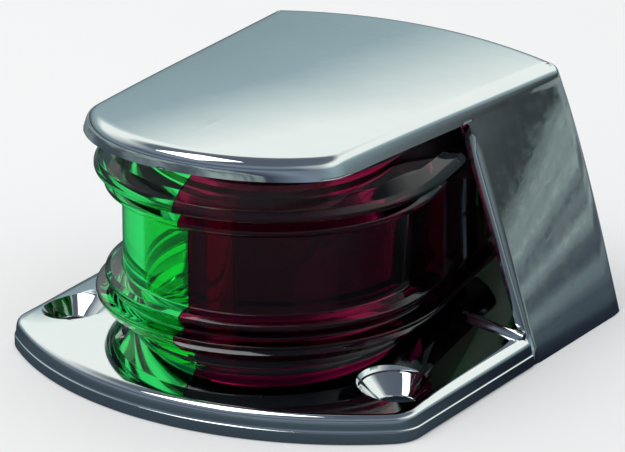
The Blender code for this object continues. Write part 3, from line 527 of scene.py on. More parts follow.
class Plan:
    """Half an outline: a bowed front, a straight side and a bowed rear, joined by tangent arcs."""

    def __init__(self, front, rear, front_corner, rear_corner):
        half, y, rise = front
        rear_half, rear_y, rear_rise = rear
        self.slope = (rear_half - half) / (rear_y - y)
        self.side = half - self.slope * y
        self.slant = math.hypot(1.0, self.slope)
        self.front_radius = (half ** 2 + rise ** 2) / (2.0 * rise)
        self.front_centre = y - rise + self.front_radius
        self.rear_radius = (rear_half ** 2 + rear_rise ** 2) / (2.0 * rear_rise)
        self.rear_centre = rear_y + rear_rise - self.rear_radius
        self.front_corner = front_corner
        self.rear_corner = rear_corner

    def half_width(self, y, inset=0.0):
        return self.side + self.slope * y - inset * self.slant

    def meeting(self, centre, radius, sign, inset):
        """Where the inset side meets an arc about the centre line, found by repeated substitution."""
        y = centre
        for _ in range(MEETING_PASSES):
            x = self.half_width(y, inset)
            y = centre + sign * math.sqrt(max(radius ** 2 - x ** 2, 0.0))
        return x, y

    def columns(self, inset, split_y):
        """Points and outward directions from the bow round the port side to the stern."""
        side_turn = math.pi / 2.0 - math.atan(self.slope)
        ends = []
        for centre, radius, sign, corner in ((self.front_centre, self.front_radius, -1.0, self.front_corner),
                                             (self.rear_centre, self.rear_radius, 1.0, self.rear_corner)):
            fillet = max(corner - inset, LEAST_FILLET)
            x, y = self.meeting(centre, radius - inset - fillet, sign, inset + fillet)
            ends.append((centre, radius - inset, fillet, x, y, math.atan2(x, sign * (y - centre))))
        places = []
        (centre, radius, fillet, x, y, turn), (centre2, radius2, fillet2, x2, y2, turn2) = ends
        for k in range(BOW_STEPS):
            places.append(on_arc(0.0, centre, radius, turn * k / BOW_STEPS))
        for k in range(CORNER_STEPS):
            places.append(on_arc(x, y, fillet, turn + (side_turn - turn) * k / CORNER_STEPS))
        start_y = y - fillet * math.cos(side_turn)
        end_y = y2 - fillet2 * math.cos(side_turn)
        normal = (math.sin(side_turn), -math.cos(side_turn))
        for first, last in ((start_y, split_y), (split_y, end_y)):
            for k in range(SIDE_STEPS):
                side_y = first + (last - first) * k / SIDE_STEPS
                places.append(((self.half_width(side_y, inset), side_y), normal))
        for k in range(CORNER_STEPS):
            angle = side_turn + (math.pi - turn2 - side_turn) * k / CORNER_STEPS
            places.append(on_arc(x2, y2, fillet2, angle))
        for k in range(REAR_STEPS + 1):
            angle = math.pi - turn2 * (1.0 - k / REAR_STEPS)
            places.append(on_arc(0.0, centre2, radius2, angle))
        return places


def on_arc(x, y, radius, turn):
    """A point and its outward direction. The turn is measured from the bow towards port."""
    normal = (math.sin(turn), -math.cos(turn))
    return (x + radius * normal[0], y + radius * normal[1]), normal


SPLIT_COLUMN = BOW_STEPS + CORNER_STEPS + SIDE_STEPS


def mixed(low, high, share):
    return tuple(a + (b - a) * share for a, b in zip(low, high))


def plan_at(share):
    """The cover's plan at a share of its height: 0 on the deck and 1 at the roof."""
    front = mixed(FOOT_FRONT, HOOD_FRONT, share)
    half, y, rise = mixed(FOOT_REAR, HOOD_REAR, share)
    y = FOOT_REAR[1] + (HOOD_REAR[1] - FOOT_REAR[1]) * max(share, 0.0) ** REAR_SHOULDER_POWER
    corner = FOOT_CORNER + (HOOD_CORNER - FOOT_CORNER) * share
    return Plan(front, (half, y, rise), corner, REAR_CORNER)


FOOT = plan_at(0.0)
HOOD = plan_at(1.0)


def hood_height(x, y):
    """Height of the roof: crowned across, lower to the rear and the bow, with a small raised mark."""
    along = (y - HOOD_FRONT[1]) / (HOOD_REAR[1] - HOOD_FRONT[1])
    across = x / HOOD.half_width(y)
    away = math.hypot(x - CASTING_MARK[0], y - CASTING_MARK[1]) / MARK_RADIUS
    mark = MARK_HEIGHT * math.exp(-away ** 2) - HOOD_BOW_DROP * max(y / HOOD_FRONT[1], 0.0) ** 2
    return HOOD_FRONT_Z + (HOOD_REAR_Z - HOOD_FRONT_Z) * along + HOOD_CROWN * (1.0 - across ** 2) + mark


def base_height(x, y):
    """Height of the base plate's pillowed top."""
    across = min(abs(x) / FOOT.half_width(y), 1.0)
    height = 1.0 - across ** 3
    if y < BASE_DOME_Y:
        bow = FOOT.front_centre - math.sqrt(max(FOOT.front_radius ** 2 - x ** 2, 0.0))
        height *= 1.0 - min((BASE_DOME_Y - y) / (BASE_DOME_Y - bow), 1.0) ** 3
    return BASE_EDGE_Z + BASE_DOME * height


def cheek_y(z):
    return CHEEK_FOOT_Y + (CHEEK_TOP_Y - CHEEK_FOOT_Y) * z / CHEEK_TOP_Z


def cap_to_spine(bm, ring, height, rings=ROOF_RINGS):
    """Close a half outline with rings that shrink towards a line along the middle."""
    places = [vertex.co.copy() for vertex in ring]
    first_y = places[0].y + SPINE_FRONT
    last_y = places[-1].y - SPINE_REAR
    outer = ring
    for k in range(1, rings + 1):
        share = k / rings
        inner = []
        for place in places:
            target = min(max(place.y, first_y), last_y)
            x = place.x * (1.0 - share)
            y = place.y + (target - place.y) * share
            inner.append(bm.verts.new((x, y, height(x, y))))
        join_rings(bm, outer, inner)
        outer = inner


def mirror_half(bm):
    """Complete a half that is open along x = 0, and merge the two halves."""
    bmesh.ops.remove_doubles(bm, verts=bm.verts, dist=WELD)
    flipped = bmesh.ops.duplicate(bm, geom=bm.verts[:] + bm.edges[:] + bm.faces[:])["geom"]
    vertices = [item for item in flipped if isinstance(item, bmesh.types.BMVert)]
    faces = [item for item in flipped if isinstance(item, bmesh.types.BMFace)]
    bmesh.ops.scale(bm, vec=(-1.0, 1.0, 1.0), verts=vertices)
    bmesh.ops.reverse_faces(bm, faces=faces)
    bmesh.ops.remove_doubles(bm, verts=bm.verts, dist=WELD)


# --- cover ---

def cover_ring(bm, inset, drop=None, share=None, skip=0):
    """A row of vertices round the cover, at a distance under the roof or at a share of its height."""
    if share is None:
        share = 1.0 - drop / HOOD_FRONT_Z
    split_y = cheek_y(share * HOOD_FRONT_Z)
    roof = HOOD.columns(0.0, cheek_y(HOOD_FRONT_Z))
    ring = []
    for ((x, y), _), ((roof_x, roof_y), _) in list(zip(plan_at(share).columns(inset, split_y), roof))[skip:]:
        top = hood_height(roof_x, roof_y)
        ring.append(bm.verts.new((x, y, top * share if drop is None else top - drop)))
    return ring


def roof_edge_rings(bm):
    """Rings that roll the leaning walls over into the roof, from the roof down."""
    split_y = cheek_y(HOOD_FRONT_Z)
    roof = HOOD.columns(0.0, split_y)
    below_share = 0.95
    below = plan_at(below_share).columns(0.0, split_y)
    rings = [[] for _ in range(ROLL_RINGS)]
    for ((x, y), normal), ((low_x, low_y), _) in zip(roof, below):
        top = hood_height(x, y)
        outward = (low_x - x) * normal[0] + (low_y - y) * normal[1]
        lean = math.atan2(outward, top * (1.0 - below_share))
        reach = HOOD_EDGE_RADIUS * math.tan((math.pi / 2.0 - lean) / 2.0)
        for k, ring in enumerate(rings):
            turn = (math.pi / 2.0 - lean) * k / (ROLL_RINGS - 1)
            inset = reach - HOOD_EDGE_RADIUS * math.sin(turn)
            drop = HOOD_EDGE_RADIUS * (1.0 - math.cos(turn))
            place = (x - normal[0] * inset, y - normal[1] * inset)
            ring.append(bm.verts.new((*place, hood_height(*place) - drop)))
    return rings


def bevel_edges(bm, chains, width):
    """Round the edges that run along the given rows of vertices."""
    wanted = []
    for chain in chains:
        for first, second in zip(chain, chain[1:]):
            edge = bm.edges.get((first, second))
            if edge is not None and edge not in wanted:
                wanted.append(edge)
    bmesh.ops.bevel(bm, geom=wanted, offset=width, segments=3, profile=0.5, affect="EDGES",
                    clamp_overlap=True)


def make_cover():
    bm = bmesh.new()
    rolled = roof_edge_rings(bm)
    cap_to_spine(bm, rolled[0], hood_height)
    upper = rolled + [cover_ring(bm, 0.0, drop=drop) for drop in LIP_OUTER_DROPS]
    join_all(bm, upper)
    lip_share = 1.0 - LIP_HEIGHT / HOOD_FRONT_Z
    levels = [lip_share * (1.0 - k / WALL_RINGS) for k in range(1, WALL_RINGS + 1)]
    outer = [upper[-1][SPLIT_COLUMN:]]
    outer += [cover_ring(bm, 0.0, share=share, skip=SPLIT_COLUMN) for share in levels]
    inner_lip = cover_ring(bm, WALL, drop=LIP_HEIGHT)
    inner = [inner_lip[SPLIT_COLUMN:]]
    inner += [cover_ring(bm, WALL, share=share, skip=SPLIT_COLUMN) for share in levels]
    join_all(bm, outer)
    join_all(bm, inner)
    join_rings(bm, outer[-1], inner[-1])
    join_rings(bm, upper[-1][:SPLIT_COLUMN + 1], inner_lip[:SPLIT_COLUMN + 1])
    outer_edge = [ring[0] for ring in outer]
    inner_edge = [ring[0] for ring in inner]
    join_rings(bm, outer_edge, inner_edge)
    inner_upper = [inner_lip] + [cover_ring(bm, WALL, drop=drop) for drop in LIP_INNER_DROPS]
    inner_upper += [cover_ring(bm, WALL + inset, drop=ROOF + depth) for inset, depth in LIP_CORNER]
    join_all(bm, inner_upper)
    cap_to_spine(bm, inner_upper[-1], lambda x, y: hood_height(x, y) - ROOF)
    bevel_edges(bm, (upper[-1][:SPLIT_COLUMN + 1], inner_lip[:SPLIT_COLUMN + 1], inner_edge, outer[-1],
                     inner[-1]), EDGE_BREAK)
    bevel_edges(bm, (outer_edge[1:-1],), CHEEK_EDGE)
    mirror_half(bm)
    casting = finish_mesh("cover_casting", bm)
    mark_unpolished(casting)
    add_piece("cover_casting", casting, "chrome", "cover", "cover")
    make_cover_posts()


def make_cover_posts():
    """The screw posts and the rib that presses on the gasket, inside the cover."""
    bm = bmesh.new()
    for name, (x, y) in POSTS.items():
        foot, radius = FRONT_POST if name == "front" else REAR_POST
        top = (hood_height(x, y) - ROOF) / MM + 0.5 if name == "front" else REAR_POST_TOP
        bore_top = foot + POST_BORE_DEPTH
        points = [(POST_BORE, foot), (radius, foot), (radius, top), (0.0, top), (0.0, bore_top),
                  (POST_BORE, bore_top)]
        radii = [0.3, 0.4, 0.0, 0.0, 0.0, 0.3]
        post = turned(in_mm(rounded(points, radii, True)), 48, matrix=Matrix.Translation((x, y, 0.0)))
        merge_into(bm, post)
    merge_into(bm, swept(*RIB, 0.2))
    add_shape("cover_posts", bm, "chrome", "cover", "cover")


def merge_into(bm, other):
    """Add one bmesh to another. The first is kept."""
    mesh = plain_mesh("merge", other)
    bm.from_mesh(mesh)
    bpy.data.meshes.remove(mesh)


# --- base plate ---

def base_columns(inset, z):
    """The plate's half outline: full width ahead of the cheeks, and inside the cover behind them."""
    ahead = FOOT.columns(inset, BASE_STEP_Y - inset)[:SPLIT_COLUMN + 1]
    behind = FOOT.columns(BASE_BEHIND_INSET + COVER_LEAN * z, BASE_STEP_Y - inset)[SPLIT_COLUMN:]
    return [place for place, _ in ahead + behind]


def whole(half):
    """A full outline from a half that starts and ends on the centre line."""
    return half + [(-x, y) for x, y in reversed(half[1:-1])]


def make_base():
    bm = bmesh.new()
    rings = []
    for inset, z in in_mm(BASE_SIDE):
        rings.append([bm.verts.new((x, y, z)) for x, y in base_columns(inset, z)])
    top_outline = base_columns(BASE_TOP_INSET, BASE_EDGE_Z + MM)
    rings.append([bm.verts.new((x, y, base_height(x, y))) for x, y in top_outline])
    join_all(bm, rings)
    cap_to_spine(bm, rings[-1], base_height, rings=BASE_TOP_RINGS)
    cap_to_spine(bm, rings[0], lambda x, y: 0.0, rings=BASE_BOTTOM_RINGS)
    mirror_half(bm)
    plate = combined(finish_mesh("base_casting", bm), base_tools())
    add_piece("base_casting", plate, "chrome", "base", "base_plate")


def base_tools():
    """What is added to the plate and cut out of it.

    Known faults: the seat's cut has no effect here, and a face closes the front screw's hole at the pocket's
    ceiling. The plate stays too high under the lens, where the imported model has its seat.
    """
    tools = [("UNION", ridge(side)) for side in (1.0, -1.0)]
    pocket = whole(base_columns(BASE_POCKET_INSET, 3.0 * BASE_POCKET_Z))
    tools.append(("DIFFERENCE", prism(pocket, -MM, BASE_POCKET_Z)))
    tools.append(("DIFFERENCE", prism(seat_outline(), SEAT_Z, SEAT_Z + 6.0 * MM)))
    pocket_top = BASE_POCKET_Z / MM
    seat = SEAT_Z / MM
    outlet = ((0.0, TOOL_BELOW), (OUTLET_RECESS, TOOL_BELOW), (OUTLET_RECESS, pocket_top),
              (OUTLET_RADIUS, pocket_top), (OUTLET_RADIUS, seat), (OUTLET_RECESS, seat),
              (OUTLET_RECESS, TOOL_HIGH_TOP), (0.0, TOOL_HIGH_TOP))
    place = Matrix.Translation((0.0, OUTLET_Y, 0.0))
    tools.append(("DIFFERENCE", turned(in_mm(outlet), 64, matrix=place)))
    for name, (x, y) in POSTS.items():
        place = Matrix.Translation((x, y, 0.0))
        if name != "front":
            tools.append(("DIFFERENCE", drum(WASHER_RECESS, TOOL_BELOW, pocket_top, 48, place)))
        tools.append(("DIFFERENCE", drum(POST_BORE, 0.0, TOOL_TOP, 32, place)))
    for x, y in RIVETS.values():
        tools.append(("DIFFERENCE", drum(RIVET_HOLE, 0.0, TOOL_TOP, 24, Matrix.Translation((x, y, 0.0)))))
    for side in (1.0, -1.0):
        place = Matrix.Translation((side * MOUNT_HOLE[0], MOUNT_HOLE[1], 0.0))
        tools.append(("UNION", drum(MOUNT_BOSS_RADIUS / MM, 0.0, MOUNT_BOSS_TOP, 64, place)))
        tools.append(("DIFFERENCE", turned(countersink_profile(), FINE_TURN, matrix=place)))
    return tools


def countersink_profile():
    """The deck hole, its cone, and the soft rim where the cone meets the plate."""
    top = base_height(*MOUNT_HOLE) / MM
    hole = MOUNT_HOLE_RADIUS / MM
    rim = COUNTERSINK_RADIUS / MM
    foot = top - COUNTERSINK_DEPTH / MM
    points = [(0.0, TOOL_BELOW), (hole, TOOL_BELOW), (hole, foot), (rim, top - 0.15),
              (rim + 0.35, top + 0.05), (rim + 0.9, top + 0.9), (rim + 0.9, TOOL_HIGH_TOP),
              (0.0, TOOL_HIGH_TOP)]
    return in_mm(rounded(points, [0.0, 0.0, 0.5, 1.0, 0.3, 0.0, 0.0, 0.0], True))


def ridge(side):
    """A rounded weir across the plate, just ahead of a cheek's foot."""
    bm = bmesh.new()
    rows = []
    turns = [2.0 * math.pi * k / RIDGE_STEPS for k in range(RIDGE_STEPS)]
    for i in range(RIDGE_STEPS + 1):
        x = RIDGE_X[0] + (RIDGE_X[1] - RIDGE_X[0]) * i / RIDGE_STEPS
        z = base_height(x, RIDGE_Y) + RIDGE_RISE
        rows.append([bm.verts.new((side * x, RIDGE_Y + RIDGE_RADIUS * math.cos(turn),
                                   z + RIDGE_RADIUS * math.sin(turn))) for turn in turns])
    close_tube(bm, rows)
    return bm


def seat_outline():
    """The outline of the lens's seat, a clearance wider than the lens's neck."""
    radius = LENS_NECK * MM + SEAT_CLEARANCE
    half = []
    for k in range(SEAT_STEPS + 1):
        angle = LENS_SWEEP * k / SEAT_STEPS
        half.append((radius * math.sin(angle), LENS_Y - radius * math.cos(angle)))
    x, y = side_point(radius / MM, LENS_REAR_Y + MM)
    return whole([(0.0, half[0][1])] + half[1:] + [(x, y), (0.0, y)])


# --- lens ---

def side_point(offset, y):
    """A point on the straight side of the lens, at an offset in mm from its axis."""
    x = (offset * MM - (y - LENS_Y) * math.sin(LENS_LEAN)) / math.cos(LENS_LEAN)
    return x, y


def bow_point(radius, share):
    """A point round the front of the lens: share 0 on the centre line and 1 where the side begins."""
    angle = LENS_SWEEP * share
    return radius * MM * math.sin(angle), LENS_Y - radius * MM * math.cos(angle)


def lens_profile():
    """Outside of the lens from its lower neck to its upper one, as (radius, height) in mm."""
    points = [(r, h) for r, h, _ in LENS_RINGS]
    radii = [radius for _, _, radius in LENS_RINGS]
    lower = [(r, -h) for r, h in reversed(points)]
    outline = rounded(lower + points, list(reversed(radii)) + radii, steps=5)
    smooth = []
    for first, second in zip(outline, outline[1:]):
        parts = max(1, int(math.dist(first, second) / LENS_SPACING))
        smooth += [mixed(first, second, k / parts) for k in range(parts)]
    return smooth + [outline[-1]]


def lens_rows():
    """Rows of (x, y, z) points round each section of the lens, from the seam to the rear end."""
    outside = lens_profile()
    heights = [LENS_HALF_HEIGHT, 15.0, LENS_POCKET_HALF + 0.02, LENS_POCKET_HALF, 6.0, 0.0]
    heights += [-h for h in reversed(heights[:-1])]
    inside = [(LENS_INNER, h) for h in heights]
    rows = []
    for k in range(LENS_BOW_STEPS + 1):
        rows.append([(*bow_point(r, k / LENS_BOW_STEPS), h) for r, h in outside + inside])
    for k in range(1, LENS_SIDE_STEPS + 1):
        row = []
        for r, h in outside + inside:
            start_y = bow_point(r, 1.0)[1]
            row.append((*side_point(r, start_y + (LENS_STEP_Y - start_y) * k / LENS_SIDE_STEPS), h))
        rows.append(row)
    behind = [LENS_STEP_Y + LENS_STEP_WIDTH, LENS_POCKET_Y, LENS_POCKET_Y + LENS_STEP_WIDTH]
    behind += [LENS_POCKET_Y + (LENS_REAR_Y - LENS_POCKET_Y) * k / LENS_REAR_STEPS
               for k in range(1, LENS_REAR_STEPS + 1)]
    for y in behind:
        row = [(*side_point(max(r, LENS_SIDE) if abs(h) < LENS_BAND_HALF else r, y), h) for r, h in outside]
        for r, h in inside:
            hollow = abs(h) <= LENS_POCKET_HALF and y > LENS_POCKET_Y
            row.append((*side_point(LENS_POCKET_INNER if hollow else r, y), h))
        rows.append(row)
    return rows


def make_lens(colour, side):
    bm = bmesh.new()
    rows = []
    for row in lens_rows():
        rows.append([bm.verts.new((side * max(x, SEAM_HALF), y, LENS_Z + h * MM)) for x, y, h in row])
    close_tube(bm, rows)
    add_shape("lens_shell_" + colour, bm, colour + "_lens", "base", "lens_" + colour)


def swept(low, high, rounding):
    """A bmesh of a strip on the edge of the lens, between two heights in mm, round the bow and both sides."""
    section = [(LENS_INNER, low), (LENS_NECK, low), (LENS_NECK, high), (LENS_INNER, high)]
    profile = rounded(section, [rounding] * len(section), True, steps=2)
    half = []
    for k in range(GASKET_BOW_STEPS + 1):
        half.append([(*bow_point(r, k / GASKET_BOW_STEPS), h) for r, h in profile])
    for k in range(1, LENS_SIDE_STEPS + 1):
        row = []
        for r, h in profile:
            start_y = bow_point(r, 1.0)[1]
            row.append((*side_point(r, start_y + (LENS_REAR_Y - start_y) * k / LENS_SIDE_STEPS), h))
        half.append(row)
    rows = [[(-x, y, h) for x, y, h in row] for row in reversed(half[1:])] + half
    bm = bmesh.new()
    close_tube(bm, [[bm.verts.new((x, y, LENS_Z + h * MM)) for x, y, h in row] for row in rows])
    return bm


def make_gaskets():
    for name, (body, low, high) in GASKETS.items():
        add_shape("gasket_" + name, swept(low, high, 0.25), "black_rubber", body, "lens_gasket_" + name)


# --- bulb and holder ---

ON_BULB_AXIS = Matrix.Translation((0.0, BULB_Y, LENS_Z)) @ Matrix.Rotation(math.pi / 2.0, 4, "X")


def arc(radius, centre, first, last, steps=24):
    """Points in mm on a circle about (0, centre), from one angle above the plane to another."""
    points = []
    for k in range(steps + 1):
        angle = math.radians(first + (last - first) * k / steps)
        points.append((radius * math.cos(angle), centre + radius * math.sin(angle)))
    return points


def axial(name, profile, slot, body, node, steps=FINE_TURN, closed=True):
    """A turned piece on the bulb's axis."""
    add_shape(name, turned(in_mm(profile), steps, closed, ON_BULB_AXIS), slot, body, node)


def make_bulb():
    outer = arc(BULB_RADIUS, BULB_CENTRE, 90.0, -52.7)
    inner = arc(BULB_INSIDE, BULB_CENTRE, -55.0, 90.0)
    glass = outer + [(5.55, 17.0), (5.6, 15.0), (4.9, 15.0), (4.9, 17.0)] + inner
    axial("bulb_envelope", glass, "clear_glass", "bulb", "bulb_glass", closed=False)
    stem = rounded([(0.0, 19.5), (1.3, 19.3), (1.5, 17.0), (4.5, 14.8), (4.5, 14.0), (0.0, 14.0)],
                   [0.0, 0.5, 1.0, 0.3, 0.2, 0.0])
    axial("bulb_mount", stem, "clear_glass", "bulb", "bulb_stem", 48, closed=False)
    cap = [(5.75, 17.0), (7.2, 17.0), (7.5, 16.3), (7.5, 1.3), (6.6, 0.4), (4.4, 0.4), (4.4, 1.2), (6.2, 1.8),
           (6.9, 2.6), (6.9, 15.8), (5.75, 16.1)]
    cap_mesh = finish_mesh("bulb_cap_shell", turned(even(cap, 0.25), FINE_TURN, True, ON_BULB_AXIS))
    pins = []
    for side in (1.0, -1.0):
        place = (Matrix.Translation((side * 7.75 * MM, BULB_Y - PIN_ALONG * MM, LENS_Z))
                 @ Matrix.Rotation(side * math.pi / 2.0, 4, "Y"))
        pin = rounded([(0.0, -0.7), (1.0, -0.7), (1.0, 0.72), (0.0, 0.72)], [0.0, 0.0, 0.3, 0.0])
        pins.append(("UNION", turned(in_mm(pin), 32, False, place)))
    add_piece("bulb_cap_shell", combined(cap_mesh, pins), "brass", "bulb", "bulb_cap")
    disc = rounded([(0.0, 0.55), (2.2, 0.55), (4.2, 0.2), (4.2, -0.15), (2.0, -0.15), (0.0, -0.15)],
                   [0.0, 0.3, 0.1, 0.1, 0.1, 0.0])
    axial("bulb_base_disc", disc, "black_insulator", "bulb", "bulb_insulator", 64, closed=False)
    tip = rounded([(0.0, -0.3), (2.0, -0.3), (1.9, -0.7), (1.1, -1.0), (0.0, -1.02)],
                  [0.0, 0.2, 0.3, 0.3, 0.0])
    axial("bulb_end_contact", tip, "solder", "bulb", "bulb_contact", 48, closed=False)
    make_filament()


def wire(name, points, radius, slot, body, node):
    """A round wire through points, as a piece."""
    curve = bpy.data.curves.new(name, "CURVE")
    curve.dimensions = "3D"
    curve.bevel_depth = radius
    curve.bevel_resolution = 3
    curve.use_fill_caps = True
    spline = curve.splines.new("POLY")
    spline.points.add(len(points) - 1)
    for point, place in zip(spline.points, points):
        point.co = (*place, 1.0)
    item = scratch_object(name + "_curve", curve)
    bm = evaluated(item)
    bpy.data.objects.remove(item)
    add_shape(name, bm, slot, body, node)


def make_filament():
    """Two lead wires from the stem, and the filament hung upright between their tips."""
    root = BULB_Y - 20.0 * MM
    for name, sign in (("upper", 1.0), ("lower", -1.0)):
        bend = [(0.0, root, LENS_Z + sign * 0.7 * MM), (0.0, root - 1.8 * MM, LENS_Z + sign * 1.2 * MM),
                (0.0, LENS_Y + 0.6 * MM, LENS_Z + sign * 3.1 * MM)]
        wire("lead_wire_" + name, bend, LEAD_WIRE, "stainless_steel", "bulb", "bulb_lead_" + name)
    coil = []
    count = FILAMENT_LOOPS * COIL_STEPS
    for k in range(count + 1):
        angle = 2.0 * math.pi * k / COIL_STEPS
        coil.append((FILAMENT_RADIUS * math.cos(angle), LENS_Y - 0.2 * MM + FILAMENT_RADIUS * math.sin(angle),
                     LENS_Z - FILAMENT_LENGTH / 2.0 + FILAMENT_LENGTH * k / count))
    wire("filament_coil", coil, FILAMENT_WIRE, "tungsten", "bulb", "bulb_filament")


def slot_tool(first, last, low, high):
    """A sector of a ring that cuts the barrel between two angles, widened by half a slot."""
    spread = SLOT_HALF_WIDTH / BARREL_RADIUS
    steps = 12
    outline = []
    for radius, order in zip(SLOT_RADII, (range(steps + 1), range(steps, -1, -1))):
        for k in order:
            angle = first - spread + (last - first + 2.0 * spread) * k / steps
            outline.append((radius * MM * math.cos(angle), radius * MM * math.sin(angle)))
    bm = prism(outline, low * MM, high * MM)
    bmesh.ops.transform(bm, matrix=ON_BULB_AXIS, verts=bm.verts)
    return bm


def make_holder():
    shell = even([(BARREL_RADIUS, 13.0), (BARREL_RADIUS, -10.2), (4.6, -10.2), (4.6, -9.4), (7.9, -9.4),
                  (7.9, 13.0)], 0.3)
    barrel = finish_mesh("holder_barrel", turned(shell, FINE_TURN, True, ON_BULB_AXIS))
    slots = []
    for half_turn in (0.0, math.pi):
        end = half_turn + BULB_TWIST
        slots.append(("DIFFERENCE", slot_tool(end, end, 3.2, 14.0)))
        slots.append(("DIFFERENCE", slot_tool(half_turn, end, 3.2, 7.8)))
    add_piece("holder_barrel", combined(barrel, slots), "nickel_plate", "base", "holder_shell")
    washer = rounded([(7.75, -6.6), (7.75, -9.2), (1.95, -9.2), (1.95, -6.6)], [0.15] * 4, True)
    axial("holder_disc", washer, "phenolic_board", "base", "holder_insulator")
    plunger = rounded([(0.0, -1.2), (3.1, -1.2), (3.5, -1.6), (3.5, -2.2), (1.6, -2.2), (1.6, -10.5),
                       (0.0, -10.5)], [0.0, 0.2, 0.15, 0.15, 0.3, 0.3, 0.0])
    axial("plunger_pin", plunger, "brass", "plunger", "contact_plunger", 64, closed=False)
    terminal = rounded([(0.0, -10.7), (3.2, -10.7), (3.2, -11.3), (0.0, -11.3)], [0.0, 0.15, 0.15, 0.0])
    axial("terminal_disc", terminal, "brass", "plunger", "live_terminal", 64, closed=False)
    coil = []
    count = int(SPRING_TURNS * SPRING_STEPS)
    for k in range(count + 1):
        angle = 2.0 * math.pi * k / SPRING_STEPS
        along = (SPRING_START + SPRING_LENGTH * k / count) * MM
        coil.append((SPRING_RADIUS * math.cos(angle), BULB_Y - along,
                     LENS_Z + SPRING_RADIUS * math.sin(angle)))
    wire("spring_coil", coil, SPRING_WIRE, "stainless_steel", "base", "contact_spring")


def make_bracket():
    """A strap that stands on the base plate behind the barrel, riveted at its foot."""
    low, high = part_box("holder_bracket")
    width = high.x - low.x
    foot = bar((width, high.y - low.y, STRAP_THICKNESS),
               (0.0, (high.y + low.y) / 2.0, low.z + STRAP_THICKNESS / 2.0), bevel=STRAP_EDGE)
    upright = bar((width, STRAP_THICKNESS, high.z - low.z),
                  (0.0, high.y - STRAP_THICKNESS / 2.0, (high.z + low.z) / 2.0), bevel=STRAP_EDGE)
    tools = [("UNION", upright), ("DIFFERENCE", drum(*STRAP_EYE, 64, ON_BULB_AXIS, False))]
    for x, y in RIVETS.values():
        hole = drum(RIVET_HOLE, 3.0, TOOL_TOP, 32, Matrix.Translation((x, y, 0.0)), False)
        tools.append(("DIFFERENCE", hole))
    strap = combined(plain_mesh("bracket_strap", foot), tools)
    add_piece("bracket_strap", strap, "nickel_plate", "base", "holder_bracket")
    for name, (x, y) in RIVETS.items():
        rivet = rounded([(0.0, 8.6), (1.6, 8.4), (2.6, 7.5), (1.5, 7.5), (1.5, 3.85), (2.5, 3.85), (1.7, 3.0),
                         (0.0, 3.0)], [0.0, 0.6, 0.15, 0.1, 0.1, 0.15, 0.3, 0.0])
        bm = turned(in_mm(rivet), 48, False, Matrix.Translation((x, y, 0.0)))
        add_shape("rivet_" + name, bm, "aluminium", "base", "bracket_rivet_" + name)


# --- fixings and grommet ---

def make_screws():
    for name, (x, y) in POSTS.items():
        place = Matrix.Translation((x, y, 0.0))
        profile = [(0.0, SCREW_TIP), (1.4, SCREW_TIP)]
        z = THREAD_TOP
        while z > THREAD_FOOT:
            profile += [(THREAD_RADIUS, z), (THREAD_RADIUS - THREAD_DEPTH, z - THREAD_PITCH / 2.0)]
            z -= THREAD_PITCH
        profile += [(1.85, 3.4), (1.85, 3.05), (3.7, 3.05), (3.7, 1.9), (3.45, 1.4), (2.7, 1.0), (0.0, 1.0)]
        screw = finish_mesh("screw_" + name, turned(in_mm(profile), 48, False, place))
        recess = []
        for turn in (math.pi / 4.0, -math.pi / 4.0):
            recess.append(("DIFFERENCE", bar((3.6 * MM, 0.8 * MM, 2.4 * MM), (x, y, MM), turn)))
        add_piece("screw_" + name, combined(screw, recess), "stainless_steel", "screw_" + name,
                  "cover_screw_" + name)
        ring = even([(4.2, 3.85), (4.2, 3.2), (2.3, 3.2), (2.3, 3.85)], 0.12)
        add_shape("washer_ring_" + name, turned(ring, 64, True, place), "stainless_steel", "washer_" + name,
                  "cover_washer_" + name)


def make_grommet():
    profile = [(5.9, 7.95), (6.5, 7.25), (6.5, 6.35), (4.75, 6.35), (4.75, 3.85), (6.5, 3.85), (6.5, 2.95),
               (5.9, 2.35), (3.3, 2.35), (3.3, 7.95)]
    bm = turned(even(profile, 0.3), FINE_TURN, True, Matrix.Translation((0.0, OUTLET_Y, 0.0)))
    add_shape("grommet_ring", bm, "black_rubber", "base", "wire_grommet")


# --- studio ---

def make_floor():
    """A pale floor. Chrome mirrors it with painted shade, darker and clouded, and darkest close to the light.
    """
    bm = bmesh.new()
    bmesh.ops.create_circle(bm, cap_ends=True, radius=FLOOR_RADIUS, segments=96)
    mesh = plain_mesh("floor", bm)
    floor = bpy.data.objects.new("floor", mesh)
    floor.location.z = FLOOR_Z
    bpy.context.scene.collection.objects.link(floor)
    material = bpy.data.materials.new("pale_floor")
    material.use_nodes = True
    tree = material.node_tree
    shader = tree.nodes["Principled BSDF"]
    shader.inputs["Roughness"].default_value = 0.9
    shader.inputs["Specular IOR Level"].default_value = 0.0
    place = add_node(tree, "ShaderNodeTexCoord")
    clouds = add_node(tree, "ShaderNodeTexNoise", Scale=6.0, Detail=3.0)
    tree.links.new(place.outputs["Object"], clouds.inputs["Vector"])
    cloudy = ramp(tree, clouds.outputs["Fac"], FLOOR_CLOUDS)
    away = add_node(tree, "ShaderNodeVectorMath", operation="LENGTH")
    tree.links.new(place.outputs["Object"], away.inputs[0])
    shade = ramp(tree, away.outputs["Value"], FLOOR_PAINTED_SHADE_BY_DISTANCE)
    mirrored = mixture(tree, 1.0, cloudy, shade, blend_type="MULTIPLY")
    colour = mixture(tree, seen_in_mirror(tree), FLOOR_COLOUR, mirrored)
    tree.links.new(colour, shader.inputs["Base Color"])
    mesh.materials.append(material)


def ramp(tree, source, stops):
    """A colour ramp of (position, colour) stops."""
    node = add_node(tree, "ShaderNodeValToRGB")
    elements = node.color_ramp.elements
    while len(elements) < len(stops):
        elements.new(0.5)
    for element, (position, colour) in zip(elements, stops):
        element.position = position
        element.color = (*colour, 1.0)
    tree.links.new(source, node.inputs["Fac"])
    return node.outputs["Color"]


